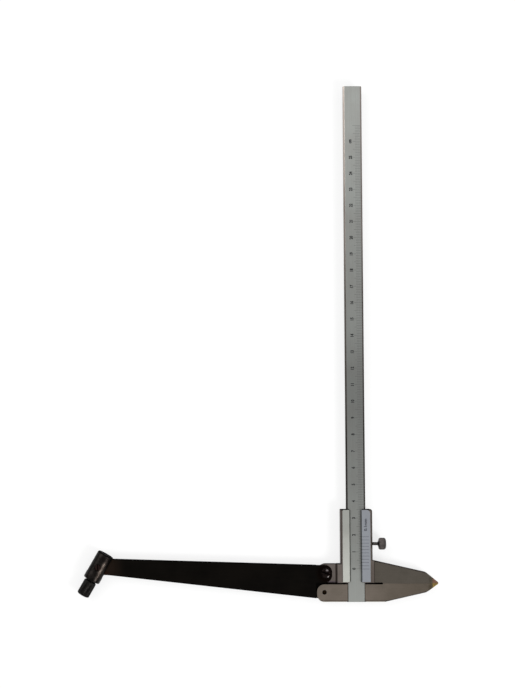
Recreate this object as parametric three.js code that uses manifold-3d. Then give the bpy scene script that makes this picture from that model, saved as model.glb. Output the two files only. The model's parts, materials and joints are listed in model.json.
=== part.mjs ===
// Marking caliper, lying on its back: a graduated beam with a fixed marking jaw, a vernier slider with the
// moving jaw, and a side arm that folds on the slider and ends in a swivelling clamp barrel.
// Lengths are in millimetres and angles in degrees. X points to the marking jaws, Y runs along the beam from
// its foot, and Z comes out of the graduated face. The origin is the middle of the beam's foot end.

import * as THREE from "three";
import { mergeVertices } from "three/addons/utils/BufferGeometryUtils.js";
import Module from "manifold-3d";

const wasm = await Module();
wasm.setup();

// Clearances
const slideGap = 0.15; // the beam in its sleeve
const turnGap = 0.12; // a pin or shoulder in its hole, on the radius
const seatGap = 0.05; // pieces that bear on each other
const lapGap = 0.25; // the arm beside the two ears
const overrun = 3; // how far a cutter runs past the metal

// Beam
const beamLength = 314.4;
const beamWidth = 11.6;
const beamThickness = 3.5;
const beamBevelWidth = 1;
const beamBevelDepth = 0.8;

// Marking jaws, measured from the line where they meet
const contactHeight = 10.85;
const contactGap = 0.06;
const reliefDepth = 0.55; // a dark groove beside the beam, open to the front
const reliefReach = 15.85;
const reliefRadius = 0.5;
const jawReach = 49;
const jawThickness = 5;
const jawSetBack = 0.25; // below the face of the beam
const shoulderLength = 7.5; // the blades close on their tips over this length
const movingRootRise = 13.55;
const movingShoulderRise = 6.55;
const fixedShoulderDrop = 5.35;
const fixedFlatReach = 17.1;
const fixedBendRadius = 8;
const shoulderRadius = 2.5;
const tipLand = 0.45;
const taperLength = 5.6; // and thin towards them over this one
const tipThickness = 1.8;
const tipLength = 3.5;
const jawBevel = 0.6;

// Ear of the fixed jaw
const fixedEarReach = 23.4;
const fixedEarCorner = 4.3;
const fixedEarThickness = 2.2;
const fixedEarRoot = 11.6; // the ear is full jaw thickness nearer the beam than this
const earHoleReach = 19;
const earHoleHeight = 5.65;
const earHoleRadius = 1.35;

// Rivets that hold the fixed jaw on the beam
const rivetRadius = 1.2;
const rivetHeadRadius = 1.9;
const rivetHeadDepth = 0.7;
const rivetBite = 2.3; // into the beam
const rivetLowHeight = 2.9;
const rivetTopHeight = 7.6;
const rivetSpread = 3.6;

// Stop screw on the back of the beam's far end
const stopInset = 5.2;
const stopThreadRadius = 1.1;
const stopThreadLength = 2.6;
const stopHeadRadius = 2;
const stopHeadHeight = 1.2;
const stopSlotWidth = 0.5;
const stopSlotDepth = 0.5;

// Sleeve of the slider, measured from the beam's middle line and from the line where the jaws meet
const sleeveLeft = 9.4;
const sleeveRight = 9.75;
const sleeveTop = 44;
const sleeveBackWall = 2.3;
const sleeveLip = 1.3;
const lipLeftReach = 4.2;
const lipRightReach = 3.6;
const rootLeft = 11.6;
const rootRight = 10.5;
const rootTopLeft = 11.7;
const rootBevel = 0.45;
const topCornerLeft = 0.5;
const topCornerRight = 1.4;
const sleeveBevel = 0.8;

// Plates on the slider's face
const plateThickness = 0.6;
const plateTop = 43.55;
const guidePlateInner = 4.05;
const guidePlateOuter = 8.1;
const vernierPlateInner = 3.4;
const vernierPlateOuter = 8.4;
const vernierBevel = 0.4;

// Leaf spring and lock screw at the slider's right edge
const pocketDepth = 1.4;
const pocketLength = 34;
const pocketHeight = 3;
const springThickness = 0.4;
const springBow = 0.6;
const lockHeight = 23.4;
const lockShankRadius = 1;
const lockShankShown = 3.7;
const lockHeadRadius = 3.5;
const lockHeadLength = 4.6;
const lockHeadDome = 0.9;
const lockNeckRadius = 1.9;
const lockNeckLength = 0.5;

// Knurling
const lockKnurlCount = 40;
const clampKnurlCount = 40;
const knurlDepth = 0.16;

// Pivot of the side arm on the slider's ear
const pivotReach = 18.15;
const earThickness = 2;
const pivotShoulderRadius = 1.5;
const pivotThreadRadius = 1.2;
const pivotHeadRadius = 2.9;
const pivotHeadHeight = 1.5;
const pivotSlotWidth = 0.8;
const pivotSlotDepth = 0.8;
const pivotSlotAngle = -20;
const washerRadius = 3.5;
const washerThickness = 0.5;

// Side arm, measured from its pivot
const armReach = 135.8;
const armRise = 3.6;
const armThickness = 4;
const armSetBack = 0.3; // below the face of the jaws
const armEndRadius = 4.5;
const armRootRise = 4.75;
const armRootDrop = 14.85;
const armNeck = 6; // the arm narrows to its eye over this length
const armNeckRise = 5;
const armNeckDrop = 4.65;
const armBevel = 0.5;
const noseReach = 3.75;
const noseRise = 4.6;
const noseRadius = 4.2;
const tailCorner = 0.4;
const eyeThickness = 3;

// Clamp barrel at the arm's end, measured from its pivot screw
const barrelLean = 29.5;
const barrelRadius = 5.2;
const barrelAbove = 8.9;
const barrelBelow = 8.8;
const barrelChamfer = 0.9;
const barrelPinRadius = 1.2;
const barrelHeadRadius = 1.85;
const barrelHeadDepth = 1.1;
const barrelPinInset = 0.5; // the screw's far end below the rear cheek's surface
const barrelSlotWidth = 0.5;
const barrelSlotDepth = 0.5;

// Clamp knob and its stem
const knobGap = 0.7;
const knobLength = 9.6;
const knobRadius = 3.8;
const knobChamfer = 0.5;
const knobDome = 0.8;
const stemRadius = 1.5;
const stemBite = 5;

// Steps round a circle
const roundSteps = 48;
const holeSteps = 28;
const arcSteps = 10;

// Levels along Z, from the sizes above
const beamFront = beamThickness / 2;
const beamBack = -beamFront;
const boreFront = beamFront + slideGap;
const boreBack = beamBack - slideGap;
const sleeveFront = boreFront + sleeveLip;
const sleeveBack = boreBack - sleeveBackWall;
const jawFront = beamFront - jawSetBack;
const jawBack = jawFront - jawThickness;
const jawMiddle = (jawFront + jawBack) / 2;
const reliefFloor = jawMiddle;
const armFront = jawFront - armSetBack;
const armBack = armFront - armThickness;
const armMiddle = (armFront + armBack) / 2;
const earBack = armBack;
const earFront = earBack + earThickness;
const tongueBack = earFront + lapGap;
const fixedEarBack = jawFront - fixedEarThickness;
const tailFront = fixedEarBack - lapGap;

// Places along the blades, from the sizes above
const shoulderReach = jawReach - shoulderLength;
const taperReach = jawReach - taperLength;
const tipSeatReach = jawReach - tipLength;

// The slider's ear is a half round about the arm's pivot
const earRadius = (rootTopLeft - reliefDepth) / 2;
const pivotHeight = reliefDepth + earRadius;
const tailTopDrop = earRadius + slideGap;
const tailReach = pivotReach - rootLeft - slideGap;

// Geometry helpers

const radians = THREE.MathUtils.degToRad;

// Turns a three.js geometry into a solid that can be joined and cut.
function solid(geometry) {
  const bare = geometry.clone();
  bare.deleteAttribute("normal");
  bare.deleteAttribute("uv");
  const merged = mergeVertices(bare);
  return new wasm.Manifold(
    new wasm.Mesh({
      numProp: 3,
      vertProperties: merged.getAttribute("position").array,
      triVerts: new Uint32Array(merged.index.array),
    }),
  );
}

// Turns a finished solid back into a flat-shaded three.js geometry.
function geometryOf(body) {
  const mesh = body.getMesh();
  const indexed = new THREE.BufferGeometry();
  indexed.setAttribute("position", new THREE.BufferAttribute(mesh.vertProperties, mesh.numProp));
  indexed.setIndex(new THREE.BufferAttribute(mesh.triVerts, 1));
  const faceted = indexed.toNonIndexed();
  faceted.computeVertexNormals();
  return faceted;
}

// Joins solids into one.
function join(first, ...others) {
  return others.reduce((whole, other) => whole.add(other), first);
}

// Cuts every tool out of a solid.
function cut(body, ...tools) {
  return tools.reduce((rest, tool) => rest.subtract(tool), body);
}

// A closed outline through corners [x, y, radius], taken anticlockwise. A radius of zero leaves a corner
// sharp.
function outline(corners) {
  const shape = new THREE.Shape();
  corners.forEach(([x, y, radius], index) => {
    const corner = new THREE.Vector2(x, y);
    const [beforeX, beforeY] = corners.at(index - 1);
    const [afterX, afterY] = corners[(index + 1) % corners.length];
    const toBefore = new THREE.Vector2(beforeX, beforeY).sub(corner);
    const toAfter = new THREE.Vector2(afterX, afterY).sub(corner);
    const room = Math.min(toBefore.length(), toAfter.length()) / 2;
    toBefore.normalize();
    toAfter.normalize();
    const half = Math.acos(THREE.MathUtils.clamp(toBefore.dot(toAfter), -1, 1)) / 2;
    const run = Math.min(radius / Math.tan(half), room);
    const start = corner.clone().addScaledVector(toBefore, run);
    if (index === 0) {
      shape.moveTo(start.x, start.y);
    } else {
      shape.lineTo(start.x, start.y);
    }
    if (run > 0) {
      const arcRadius = run * Math.tan(half);
      const inward = toBefore.clone().add(toAfter).normalize();
      const centre = corner.clone().addScaledVector(inward, arcRadius / Math.sin(half));
      const end = corner.clone().addScaledVector(toAfter, run);
      const from = start.clone().sub(centre).angle();
      const to = end.clone().sub(centre).angle();
      const turnsRight = toAfter.cross(toBefore) < 0;
      shape.absarc(centre.x, centre.y, arcRadius, from, to, turnsRight);
    }
  });
  shape.closePath();
  return shape;
}

// An outline in X and Y, thickened along Z from one level to another.
function plate(shape, back, front, steps = arcSteps) {
  const options = { depth: front - back, bevelEnabled: false, curveSegments: steps };
  return solid(new THREE.ExtrudeGeometry(shape, options).translate(0, 0, back));
}

// A section in X and Z, drawn out along Y from one place to another.
function bar(shape, from, to) {
  const options = { depth: to - from, bevelEnabled: false, curveSegments: arcSteps };
  return solid(new THREE.ExtrudeGeometry(shape, options).rotateX(Math.PI / 2).translate(0, to, 0));
}

// A block between two opposite corners.
function block(low, high) {
  const size = new THREE.Vector3(...high).sub(new THREE.Vector3(...low));
  const middle = new THREE.Vector3(...high).add(new THREE.Vector3(...low)).multiplyScalar(0.5);
  return solid(new THREE.BoxGeometry(size.x, size.y, size.z).translate(middle.x, middle.y, middle.z));
}

// A round rod along Z at a place in X and Y.
function rod(x, y, radius, back, front, steps = holeSteps) {
  const cylinder = new THREE.CylinderGeometry(radius, radius, front - back, steps);
  return solid(cylinder.rotateX(Math.PI / 2).translate(x, y, (front + back) / 2));
}

// A piece turned about Z from a profile of [radius, height] pairs that starts and ends on the axis.
function turned(profile, steps = roundSteps) {
  const points = profile.map(([radius, height]) => new THREE.Vector2(radius, height));
  return solid(new THREE.LatheGeometry(points, steps).rotateX(Math.PI / 2));
}

// A straight knurl: teeth round a circle, drawn out along Z.
function knurl(radius, count, back, front) {
  const shape = new THREE.Shape();
  for (let tooth = 0; tooth < count; tooth += 1) {
    const crest = (tooth / count) * 2 * Math.PI;
    const root = ((tooth + 0.5) / count) * 2 * Math.PI;
    const low = radius - knurlDepth;
    if (tooth === 0) {
      shape.moveTo(radius * Math.cos(crest), radius * Math.sin(crest));
    } else {
      shape.lineTo(radius * Math.cos(crest), radius * Math.sin(crest));
    }
    shape.lineTo(low * Math.cos(root), low * Math.sin(root));
  }
  shape.closePath();
  return plate(shape, back, front);
}

// The cutter for a 45 degree bevel along one front edge, with the metal on the left of start to end.
function bevel(start, end, level, size) {
  const along = new THREE.Vector3(end[0] - start[0], end[1] - start[1], 0);
  const length = along.length();
  along.normalize();
  const up = new THREE.Vector3(0, 0, 1);
  const inward = new THREE.Vector3().crossVectors(up, along);
  const section = new THREE.Shape();
  section.moveTo(-overrun, -size - overrun);
  section.lineTo(size + overrun, overrun);
  section.lineTo(-overrun, overrun);
  section.closePath();
  const options = { depth: length + 2 * overrun, bevelEnabled: false };
  const wedge = new THREE.ExtrudeGeometry(section, options).translate(0, 0, -overrun);
  const place = new THREE.Matrix4().makeBasis(inward, up, along);
  place.setPosition(start[0], start[1], level);
  return solid(wedge.applyMatrix4(place));
}

// A screwdriver slot across the end of a screw at a place in X and Y, cut down from its top.
function slotCutter(radius, width, depth, top, angle) {
  const half = radius + overrun;
  const cutter = new THREE.BoxGeometry(2 * half, width, depth + overrun);
  cutter.translate(0, 0, top - depth + (depth + overrun) / 2);
  return solid(cutter.rotateZ(radians(angle)));
}

// Adds one named piece to a group.
function addPiece(group, name, body, finish) {
  const piece = new THREE.Mesh(geometryOf(body), finish);
  piece.name = name;
  group.add(piece);
  return piece;
}

// Finishes

const satinChrome = new THREE.MeshStandardMaterial({ color: 0x9b9d96, roughness: 0.4, metalness: 0.9 });
const groundSteel = new THREE.MeshStandardMaterial({ color: 0x6f6a64, roughness: 0.45, metalness: 0.9 });
const paleSatin = new THREE.MeshStandardMaterial({ color: 0xb7bab0, roughness: 0.5, metalness: 0.8 });
const blueSatin = new THREE.MeshStandardMaterial({ color: 0x95989e, roughness: 0.5, metalness: 0.8 });
const springSteel = new THREE.MeshStandardMaterial({ color: 0x7c7f80, roughness: 0.35, metalness: 0.95 });
const brightSteel = new THREE.MeshStandardMaterial({ color: 0x8a8884, roughness: 0.3, metalness: 0.95 });
const blackOxide = new THREE.MeshStandardMaterial({ color: 0x17161a, roughness: 0.45, metalness: 0.7 });
const wornBlack = new THREE.MeshStandardMaterial({ color: 0x2b2825, roughness: 0.4, metalness: 0.8 });
const goldTip = new THREE.MeshStandardMaterial({ color: 0xb58a3a, roughness: 0.3, metalness: 0.95 });

// Beam

// The beam's section, grown by a gap and drawn on to a level in front of its face.
function beamSection(gap, front) {
  const half = beamWidth / 2 + gap;
  const section = new THREE.Shape();
  section.moveTo(-half, beamBack - gap);
  section.lineTo(half, beamBack - gap);
  section.lineTo(half, beamFront + gap - beamBevelDepth);
  section.lineTo(half - beamBevelWidth, beamFront + gap);
  section.lineTo(half - beamBevelWidth, front);
  section.lineTo(beamBevelWidth - half, front);
  section.lineTo(beamBevelWidth - half, beamFront + gap);
  section.lineTo(-half, beamFront + gap - beamBevelDepth);
  section.closePath();
  return section;
}

function makeBeam() {
  const sockets = rivetPlaces().map(([x, y]) => rivetHole(x, y));
  const stopDepth = beamBack + stopThreadLength + seatGap;
  const stopHole = rod(0, beamLength - stopInset, stopThreadRadius + seatGap, beamBack - overrun, stopDepth);
  return cut(bar(beamSection(0, beamFront), 0, beamLength), ...sockets, stopHole);
}

// Rivets through the floor of the fixed jaw's groove, two low and one above them.
function rivetPlaces() {
  return [
    [-rivetSpread, rivetLowHeight],
    [rivetSpread, rivetLowHeight],
    [0, rivetTopHeight],
  ];
}

function rivetHole(x, y) {
  return rod(x, y, rivetRadius + seatGap, jawBack - overrun, beamBack + rivetBite + seatGap);
}

// A countersunk rivet, flush with the back of the jaw.
function makeRivet() {
  const bottom = jawBack;
  const top = beamBack + rivetBite;
  return turned(
    [
      [0, bottom],
      [rivetHeadRadius, bottom],
      [rivetRadius, bottom + rivetHeadDepth],
      [rivetRadius, top],
      [0, top],
    ],
    holeSteps,
  );
}

function countersink(x, y) {
  const depth = rivetHeadDepth + seatGap;
  const sink = turned(
    [
      [0, jawBack - seatGap],
      [rivetHeadRadius + 2 * seatGap, jawBack - seatGap],
      [rivetRadius + seatGap, jawBack + depth],
      [0, jawBack + depth],
    ],
    holeSteps,
  );
  return sink.translate([x, y, 0]);
}

function makeStopScrew() {
  const headBase = beamBack - seatGap;
  const headTop = headBase - stopHeadHeight;
  const body = turned(
    [
      [0, headTop],
      [stopHeadRadius, headTop],
      [stopHeadRadius, headBase],
      [stopThreadRadius, headBase],
      [stopThreadRadius, beamBack + stopThreadLength],
      [0, beamBack + stopThreadLength],
    ],
    holeSteps,
  );
  const half = stopHeadRadius + overrun;
  const slot = block(
    [-half, -stopSlotWidth / 2, headTop - overrun],
    [half, stopSlotWidth / 2, headTop + stopSlotDepth],
  );
  return cut(body, slot);
}

// Jaws

// Side view of a blade, in X and Z: parallel faces that thin towards the tip.
function bladeProfile(from, low, high) {
  const tipHalf = tipThickness / 2;
  const section = new THREE.Shape();
  section.moveTo(from, jawBack);
  section.lineTo(taperReach, jawBack);
  section.lineTo(jawReach, jawMiddle - tipHalf);
  section.lineTo(jawReach, jawMiddle + tipHalf);
  section.lineTo(taperReach, jawFront);
  section.lineTo(from, jawFront);
  section.closePath();
  return bar(section, low, high);
}

// The part of a blade past the seat of its hardened tip.
function tipSpace(from) {
  const high = contactHeight + movingRootRise;
  return block([from, -high, jawBack - overrun], [jawReach + overrun, high, jawFront + overrun]);
}

// Front view of the fixed jaw: round ear, block beside the beam, and the blade.
function fixedBlade() {
  const shape = outline([
    [-fixedEarReach, 0, fixedEarCorner],
    [fixedFlatReach, 0, fixedBendRadius],
    [shoulderReach, contactHeight - fixedShoulderDrop, shoulderRadius],
    [jawReach, contactHeight - tipLand, 0],
    [jawReach, contactHeight, 0],
    [-fixedEarRoot, contactHeight, 0],
    [-fixedEarRoot, contactHeight - reliefDepth, 0],
    [-fixedEarReach, contactHeight - reliefDepth, fixedEarCorner],
  ]);
  const flat = plate(shape, jawBack, jawFront);
  return flat.intersect(bladeProfile(-fixedEarReach - overrun, -overrun, contactHeight + overrun));
}

// The groove between two jaws, from the left of their ears to its round end, open to the front.
function reliefCutter(low, high, left, front, lowCorner, highCorner) {
  const shape = outline([
    [-left - overrun, low, 0],
    [reliefReach, low, lowCorner],
    [reliefReach, high, highCorner],
    [-left - overrun, high, 0],
  ]);
  return plate(shape, reliefFloor, front + overrun);
}

function makeFixedJaw() {
  const high = contactHeight + overrun;
  const groove = bar(beamSection(seatGap, jawFront + overrun), -overrun, high);
  const reliefTop = contactHeight - reliefDepth;
  const relief = reliefCutter(reliefTop, high, fixedEarRoot, jawFront, reliefRadius, 0);
  const underEar = block(
    [-fixedEarReach - overrun, -overrun, jawBack - overrun],
    [-fixedEarRoot, high, fixedEarBack],
  );
  const hole = rod(-earHoleReach, earHoleHeight, earHoleRadius, jawBack, jawFront + overrun);
  const flatEdge = bevel([-fixedEarReach, 0], [fixedFlatReach, 0], jawFront, jawBevel);
  const shoulder = [shoulderReach, contactHeight - fixedShoulderDrop];
  const slopedEdge = bevel([fixedFlatReach, 0], shoulder, jawFront, jawBevel);
  const sockets = rivetPlaces().flatMap(([x, y]) => [rivetHole(x, y), countersink(x, y)]);
  const blade = cut(fixedBlade(), tipSpace(tipSeatReach - seatGap));
  return cut(blade, groove, relief, underEar, hole, flatEdge, slopedEdge, ...sockets);
}

// Front view of the moving jaw's blade, above the line where the jaws meet.
function movingBlade() {
  const rootX = beamWidth / 2 + pocketDepth + slideGap;
  const shape = outline([
    [rootX, contactGap, 0],
    [jawReach, contactGap, 0],
    [jawReach, contactGap + tipLand, 0],
    [shoulderReach, movingShoulderRise, shoulderRadius],
    [rootRight, movingRootRise, 0],
    [rootX, movingRootRise, 0],
  ]);
  const flat = plate(shape, jawBack, jawFront);
  return flat.intersect(bladeProfile(rootX - overrun, -overrun, movingRootRise + overrun));
}

// Slider

// The tall sleeve, bevelled at both sides and at its top.
function makeSleeve() {
  const shape = outline([
    [-sleeveLeft, contactGap, 0],
    [sleeveRight, contactGap, 0],
    [sleeveRight, sleeveTop, topCornerRight],
    [-sleeveLeft, sleeveTop, topCornerLeft],
  ]);
  const leftEdge = bevel([-sleeveLeft, sleeveTop], [-sleeveLeft, contactGap], sleeveFront, sleeveBevel);
  const rightEdge = bevel([sleeveRight, contactGap], [sleeveRight, sleeveTop], sleeveFront, sleeveBevel);
  const topFace = bevel([sleeveRight, sleeveTop], [-sleeveLeft, sleeveTop], sleeveFront, sleeveBevel);
  return cut(plate(shape, sleeveBack, sleeveFront), leftEdge, rightEdge, topFace);
}

// The wider root of the sleeve, higher at the side of the jaw.
function makeRoot() {
  const shape = outline([
    [-rootLeft, contactGap, 0],
    [rootRight, contactGap, 0],
    [rootRight, movingRootRise, 0],
    [0, movingRootRise, 0],
    [0, rootTopLeft, 0],
    [-rootLeft, rootTopLeft, 0],
  ]);
  const leftEdge = bevel([-rootLeft, rootTopLeft], [-rootLeft, contactGap], sleeveFront, rootBevel);
  const topEdge = bevel([-sleeveLeft, rootTopLeft], [-rootLeft, rootTopLeft], sleeveFront, rootBevel);
  return cut(plate(shape, sleeveBack, sleeveFront), leftEdge, topEdge);
}

function makeSliderBody() {
  const earInner = -beamWidth / 2 - slideGap;
  const ear = plate(
    outline([
      [-pivotReach - earRadius, reliefDepth, earRadius],
      [earInner, reliefDepth, 0],
      [earInner, rootTopLeft, 0],
      [-pivotReach - earRadius, rootTopLeft, earRadius],
    ]),
    earBack,
    earFront,
    roundSteps / 2,
  );
  const blade = cut(movingBlade(), tipSpace(tipSeatReach - seatGap));
  const shoulder = [shoulderReach, movingShoulderRise];
  const topEdge = bevel(shoulder, [rootRight, movingRootRise], jawFront, jawBevel);
  const bevelledBlade = cut(blade, topEdge);

  const boreHalf = beamWidth / 2 + slideGap;
  const bore = block([-boreHalf, -overrun, boreBack], [boreHalf, sleeveTop + overrun, boreFront]);
  const window = block(
    [-lipLeftReach, -overrun, beamFront],
    [lipRightReach, sleeveTop + overrun, sleeveFront + overrun],
  );
  const pocketHalf = pocketLength / 2;
  const pocket = block(
    [beamWidth / 2, lockHeight - pocketHalf, -pocketHeight / 2],
    [boreHalf + pocketDepth, lockHeight + pocketHalf, pocketHeight / 2],
  );
  const lockHole = new THREE.CylinderGeometry(
    lockShankRadius + turnGap,
    lockShankRadius + turnGap,
    sleeveRight + overrun,
    holeSteps,
  );
  lockHole.rotateZ(Math.PI / 2).translate((sleeveRight + overrun) / 2 + beamWidth / 2, lockHeight, 0);
  const pivotHole = rod(
    -pivotReach,
    pivotHeight,
    pivotThreadRadius + seatGap,
    earBack - overrun,
    earFront + overrun,
  );
  const relief = reliefCutter(-overrun, reliefDepth, rootLeft, sleeveFront, 0, reliefRadius);
  const whole = join(makeSleeve(), makeRoot(), ear, bevelledBlade);
  return cut(whole, relief, bore, window, pocket, solid(lockHole), pivotHole);
}

function makeGuidePlate() {
  return block(
    [-guidePlateOuter, reliefDepth, sleeveFront + seatGap],
    [-guidePlateInner, plateTop, sleeveFront + seatGap + plateThickness],
  );
}

// The vernier plate's inner edge is bevelled down towards the scale.
function makeVernierPlate() {
  const back = sleeveFront + seatGap;
  const front = back + plateThickness;
  const inner = vernierPlateInner;
  const flat = block([inner, reliefDepth, back], [vernierPlateOuter, plateTop, front]);
  return cut(flat, bevel([inner, plateTop], [inner, reliefDepth], front, vernierBevel));
}

// A bowed leaf: its ends bear on the pocket's wall and its middle on the beam's edge.
function makeLeafSpring() {
  const wall = beamWidth / 2 + slideGap + pocketDepth - seatGap;
  const half = pocketLength / 2 - seatGap;
  const inner = wall - springThickness;
  const shape = new THREE.Shape();
  shape.moveTo(inner, lockHeight - half);
  shape.lineTo(wall, lockHeight - half);
  shape.quadraticCurveTo(wall - 2 * springBow, lockHeight, wall, lockHeight + half);
  shape.lineTo(inner, lockHeight + half);
  shape.quadraticCurveTo(inner - 2 * springBow, lockHeight, inner, lockHeight - half);
  const flat = pocketHeight / 2 - turnGap;
  return plate(shape, -flat, flat, 2 * arcSteps);
}

// Lock screw along Z, from its tip inside the sleeve to its domed knurled head.
function makeLockScrew() {
  const tip = beamWidth / 2 + slideGap + pocketDepth - springBow + seatGap - sleeveRight;
  const headBase = lockShankShown;
  const headTop = headBase + lockHeadLength;
  const shank = turned(
    [
      [0, tip],
      [lockShankRadius, tip],
      [lockShankRadius, headBase - lockNeckLength],
      [lockNeckRadius, headBase],
      [lockNeckRadius, headBase + lockNeckLength],
      [0, headBase + lockNeckLength],
    ],
    holeSteps,
  );
  const dome = turned([
    [0, headBase],
    [lockHeadRadius - lockHeadDome, headBase],
    [lockHeadRadius, headBase + lockHeadDome],
    [lockHeadRadius, headTop - lockHeadDome],
    [lockHeadRadius - lockHeadDome, headTop - lockHeadDome / 4],
    [0, headTop],
  ]);
  const head = dome.intersect(knurl(lockHeadRadius, lockKnurlCount, headBase - seatGap, headTop + seatGap));
  return join(shank, head);
}

// Side arm

// Slotted shoulder screw that the arm turns on, threaded into the slider's ear.
function makePivotScrew() {
  const headBase = armFront + 2 * seatGap + washerThickness;
  const headTop = headBase + pivotHeadHeight;
  const rim = pivotHeadHeight / 3;
  const body = turned([
    [0, earBack],
    [pivotThreadRadius, earBack],
    [pivotThreadRadius, earFront + seatGap],
    [pivotShoulderRadius, earFront + seatGap],
    [pivotShoulderRadius, headBase],
    [pivotHeadRadius, headBase],
    [pivotHeadRadius, headTop - rim],
    [pivotHeadRadius - rim, headTop],
    [0, headTop],
  ]);
  const slot = slotCutter(pivotHeadRadius, pivotSlotWidth, pivotSlotDepth, headTop, pivotSlotAngle);
  return cut(body, slot);
}

function makeWasher() {
  const back = armFront + seatGap;
  const front = back + washerThickness;
  const hole = rod(0, 0, pivotShoulderRadius + seatGap, back - overrun, front + overrun);
  return cut(rod(0, 0, washerRadius, back, front, roundSteps), hole);
}

// The arm tapers from a tall root to a round eye. At the root its front half laps over the slider's ear as a
// round nose, and its back half runs on as a tail behind the ear of the fixed jaw.
function makeArm() {
  const step = -earRadius - lapGap;
  const eye = [-armReach, armRise];
  const neckX = eye[0] + armNeck;
  const neckTop = [neckX, armRise + armNeckRise];
  const neckBottom = [neckX, armRise - armNeckDrop];
  const bottomSlope = (neckBottom[1] + armRootDrop) / (step - neckX);
  const bottomAtTail = -armRootDrop - bottomSlope * (tailReach - step);

  const tall = plate(
    outline([
      [step, armRootRise, 0],
      [...neckTop, 0],
      [eye[0], eye[1] + armEndRadius, 0],
      [eye[0], eye[1] - armEndRadius, 0],
      [...neckBottom, 0],
      [step, -armRootDrop, 0],
    ]),
    armBack,
    armFront,
  );
  const eyeEnd = rod(eye[0], eye[1], armEndRadius, armBack, armFront, roundSteps);
  const tongue = plate(
    outline([
      [step, -earRadius, 0],
      [noseReach, -earRadius, noseRadius],
      [noseReach, noseRise, noseRadius],
      [step, armRootRise, 0],
    ]),
    tongueBack,
    armFront,
  );
  const tail = plate(
    outline([
      [step, -armRootDrop, 0],
      [tailReach, bottomAtTail, tailCorner],
      [tailReach, -tailTopDrop, tailCorner],
      [step, -tailTopDrop, 0],
    ]),
    armBack,
    tailFront,
  );

  const swing = Math.hypot(barrelAbove, barrelRadius) + lapGap;
  const eyeHalf = eyeThickness / 2;
  const frontRecess = rod(eye[0], eye[1], swing, armMiddle + eyeHalf, armFront + overrun, roundSteps);
  const backRecess = rod(eye[0], eye[1], swing, armBack - overrun, armMiddle - eyeHalf, roundSteps);
  const eyeHole = rod(eye[0], eye[1], barrelPinRadius + turnGap, armBack - overrun, armFront + overrun);
  const pivotHole = rod(0, 0, pivotShoulderRadius + turnGap, armBack - overrun, armFront + overrun);
  const topEdge = bevel([step, armRootRise], neckTop, armFront, armBevel);
  const bottomEdge = bevel(neckBottom, [step, -armRootDrop], armFront, armBevel);
  const bevelled = cut(join(tall, eyeEnd), topEdge, bottomEdge);
  return cut(join(bevelled, tongue, tail), frontRecess, backRecess, eyeHole, pivotHole);
}

// Clamp barrel

// Turns a piece made along Z so that its height runs along Y, as the barrel's does.
function upright(body) {
  return body.rotate([-90, 0, 0]);
}

// A round barrel forked from its upper end, with a solid base that carries the clamp stem.
function makeBarrel() {
  const soft = barrelRadius - barrelChamfer;
  const round = upright(
    turned([
      [0, -barrelBelow],
      [soft, -barrelBelow],
      [barrelRadius, -barrelBelow + barrelChamfer],
      [barrelRadius, barrelAbove - barrelChamfer],
      [soft, barrelAbove],
      [0, barrelAbove],
    ]),
  );
  const reach = barrelRadius + overrun;
  const forkHalf = eyeThickness / 2 + turnGap;
  const forkFloor = -armEndRadius - lapGap;
  const fork = block([-reach, forkFloor, -forkHalf], [reach, barrelAbove + overrun, forkHalf]);
  const pinEnd = -barrelRadius + barrelPinInset - seatGap;
  const pinHole = rod(0, 0, barrelPinRadius + seatGap, pinEnd, reach);
  const headSeat = barrelRadius - barrelHeadDepth - seatGap;
  const headHole = rod(0, 0, barrelHeadRadius + seatGap, headSeat, reach);
  const stemHole = upright(rod(0, 0, stemRadius + turnGap, -barrelBelow - overrun, forkFloor + overrun));
  return cut(round, fork, pinHole, headHole, stemHole);
}

function makeBarrelScrew() {
  const headBase = barrelRadius - barrelHeadDepth;
  const bottom = -barrelRadius + barrelPinInset;
  const body = turned(
    [
      [0, bottom],
      [barrelPinRadius, bottom],
      [barrelPinRadius, headBase],
      [barrelHeadRadius, headBase],
      [barrelHeadRadius, barrelRadius],
      [0, barrelRadius],
    ],
    holeSteps,
  );
  const slot = slotCutter(barrelHeadRadius, barrelSlotWidth, barrelSlotDepth, barrelRadius, 90);
  return cut(body, slot);
}

// Stem and knob are measured down from the foot of the barrel.
function makeClampStem() {
  const tip = barrelBelow - armEndRadius - seatGap;
  const end = -knobGap - stemBite;
  return upright(rod(0, 0, stemRadius, end, tip));
}

function makeClampKnob() {
  const top = -knobGap;
  const bottom = top - knobLength;
  const round = turned([
    [0, bottom],
    [knobRadius - knobDome, bottom + knobDome / 3],
    [knobRadius, bottom + knobDome],
    [knobRadius, top - knobChamfer],
    [knobRadius - knobChamfer, top],
    [0, top],
  ]);
  const teeth = knurl(knobRadius, clampKnurlCount, bottom - seatGap, top + seatGap);
  const socket = rod(0, 0, stemRadius + seatGap, top - stemBite - seatGap, top + overrun);
  return upright(cut(round.intersect(teeth), socket));
}

// Assembly

const caliper = new THREE.Group();

addPiece(caliper, "beam", makeBeam(), satinChrome);
addPiece(caliper, "fixed_jaw", makeFixedJaw(), groundSteel);
addPiece(caliper, "fixed_jaw_tip", fixedBlade().intersect(tipSpace(tipSeatReach)), goldTip);
rivetPlaces().forEach(([x, y], index) => {
  const rivet = addPiece(caliper, `jaw_rivet_${index + 1}`, makeRivet(), brightSteel);
  rivet.position.set(x, y, 0);
});
const stopScrew = addPiece(caliper, "beam_stop_screw", makeStopScrew(), brightSteel);
stopScrew.position.y = beamLength - stopInset;

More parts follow.
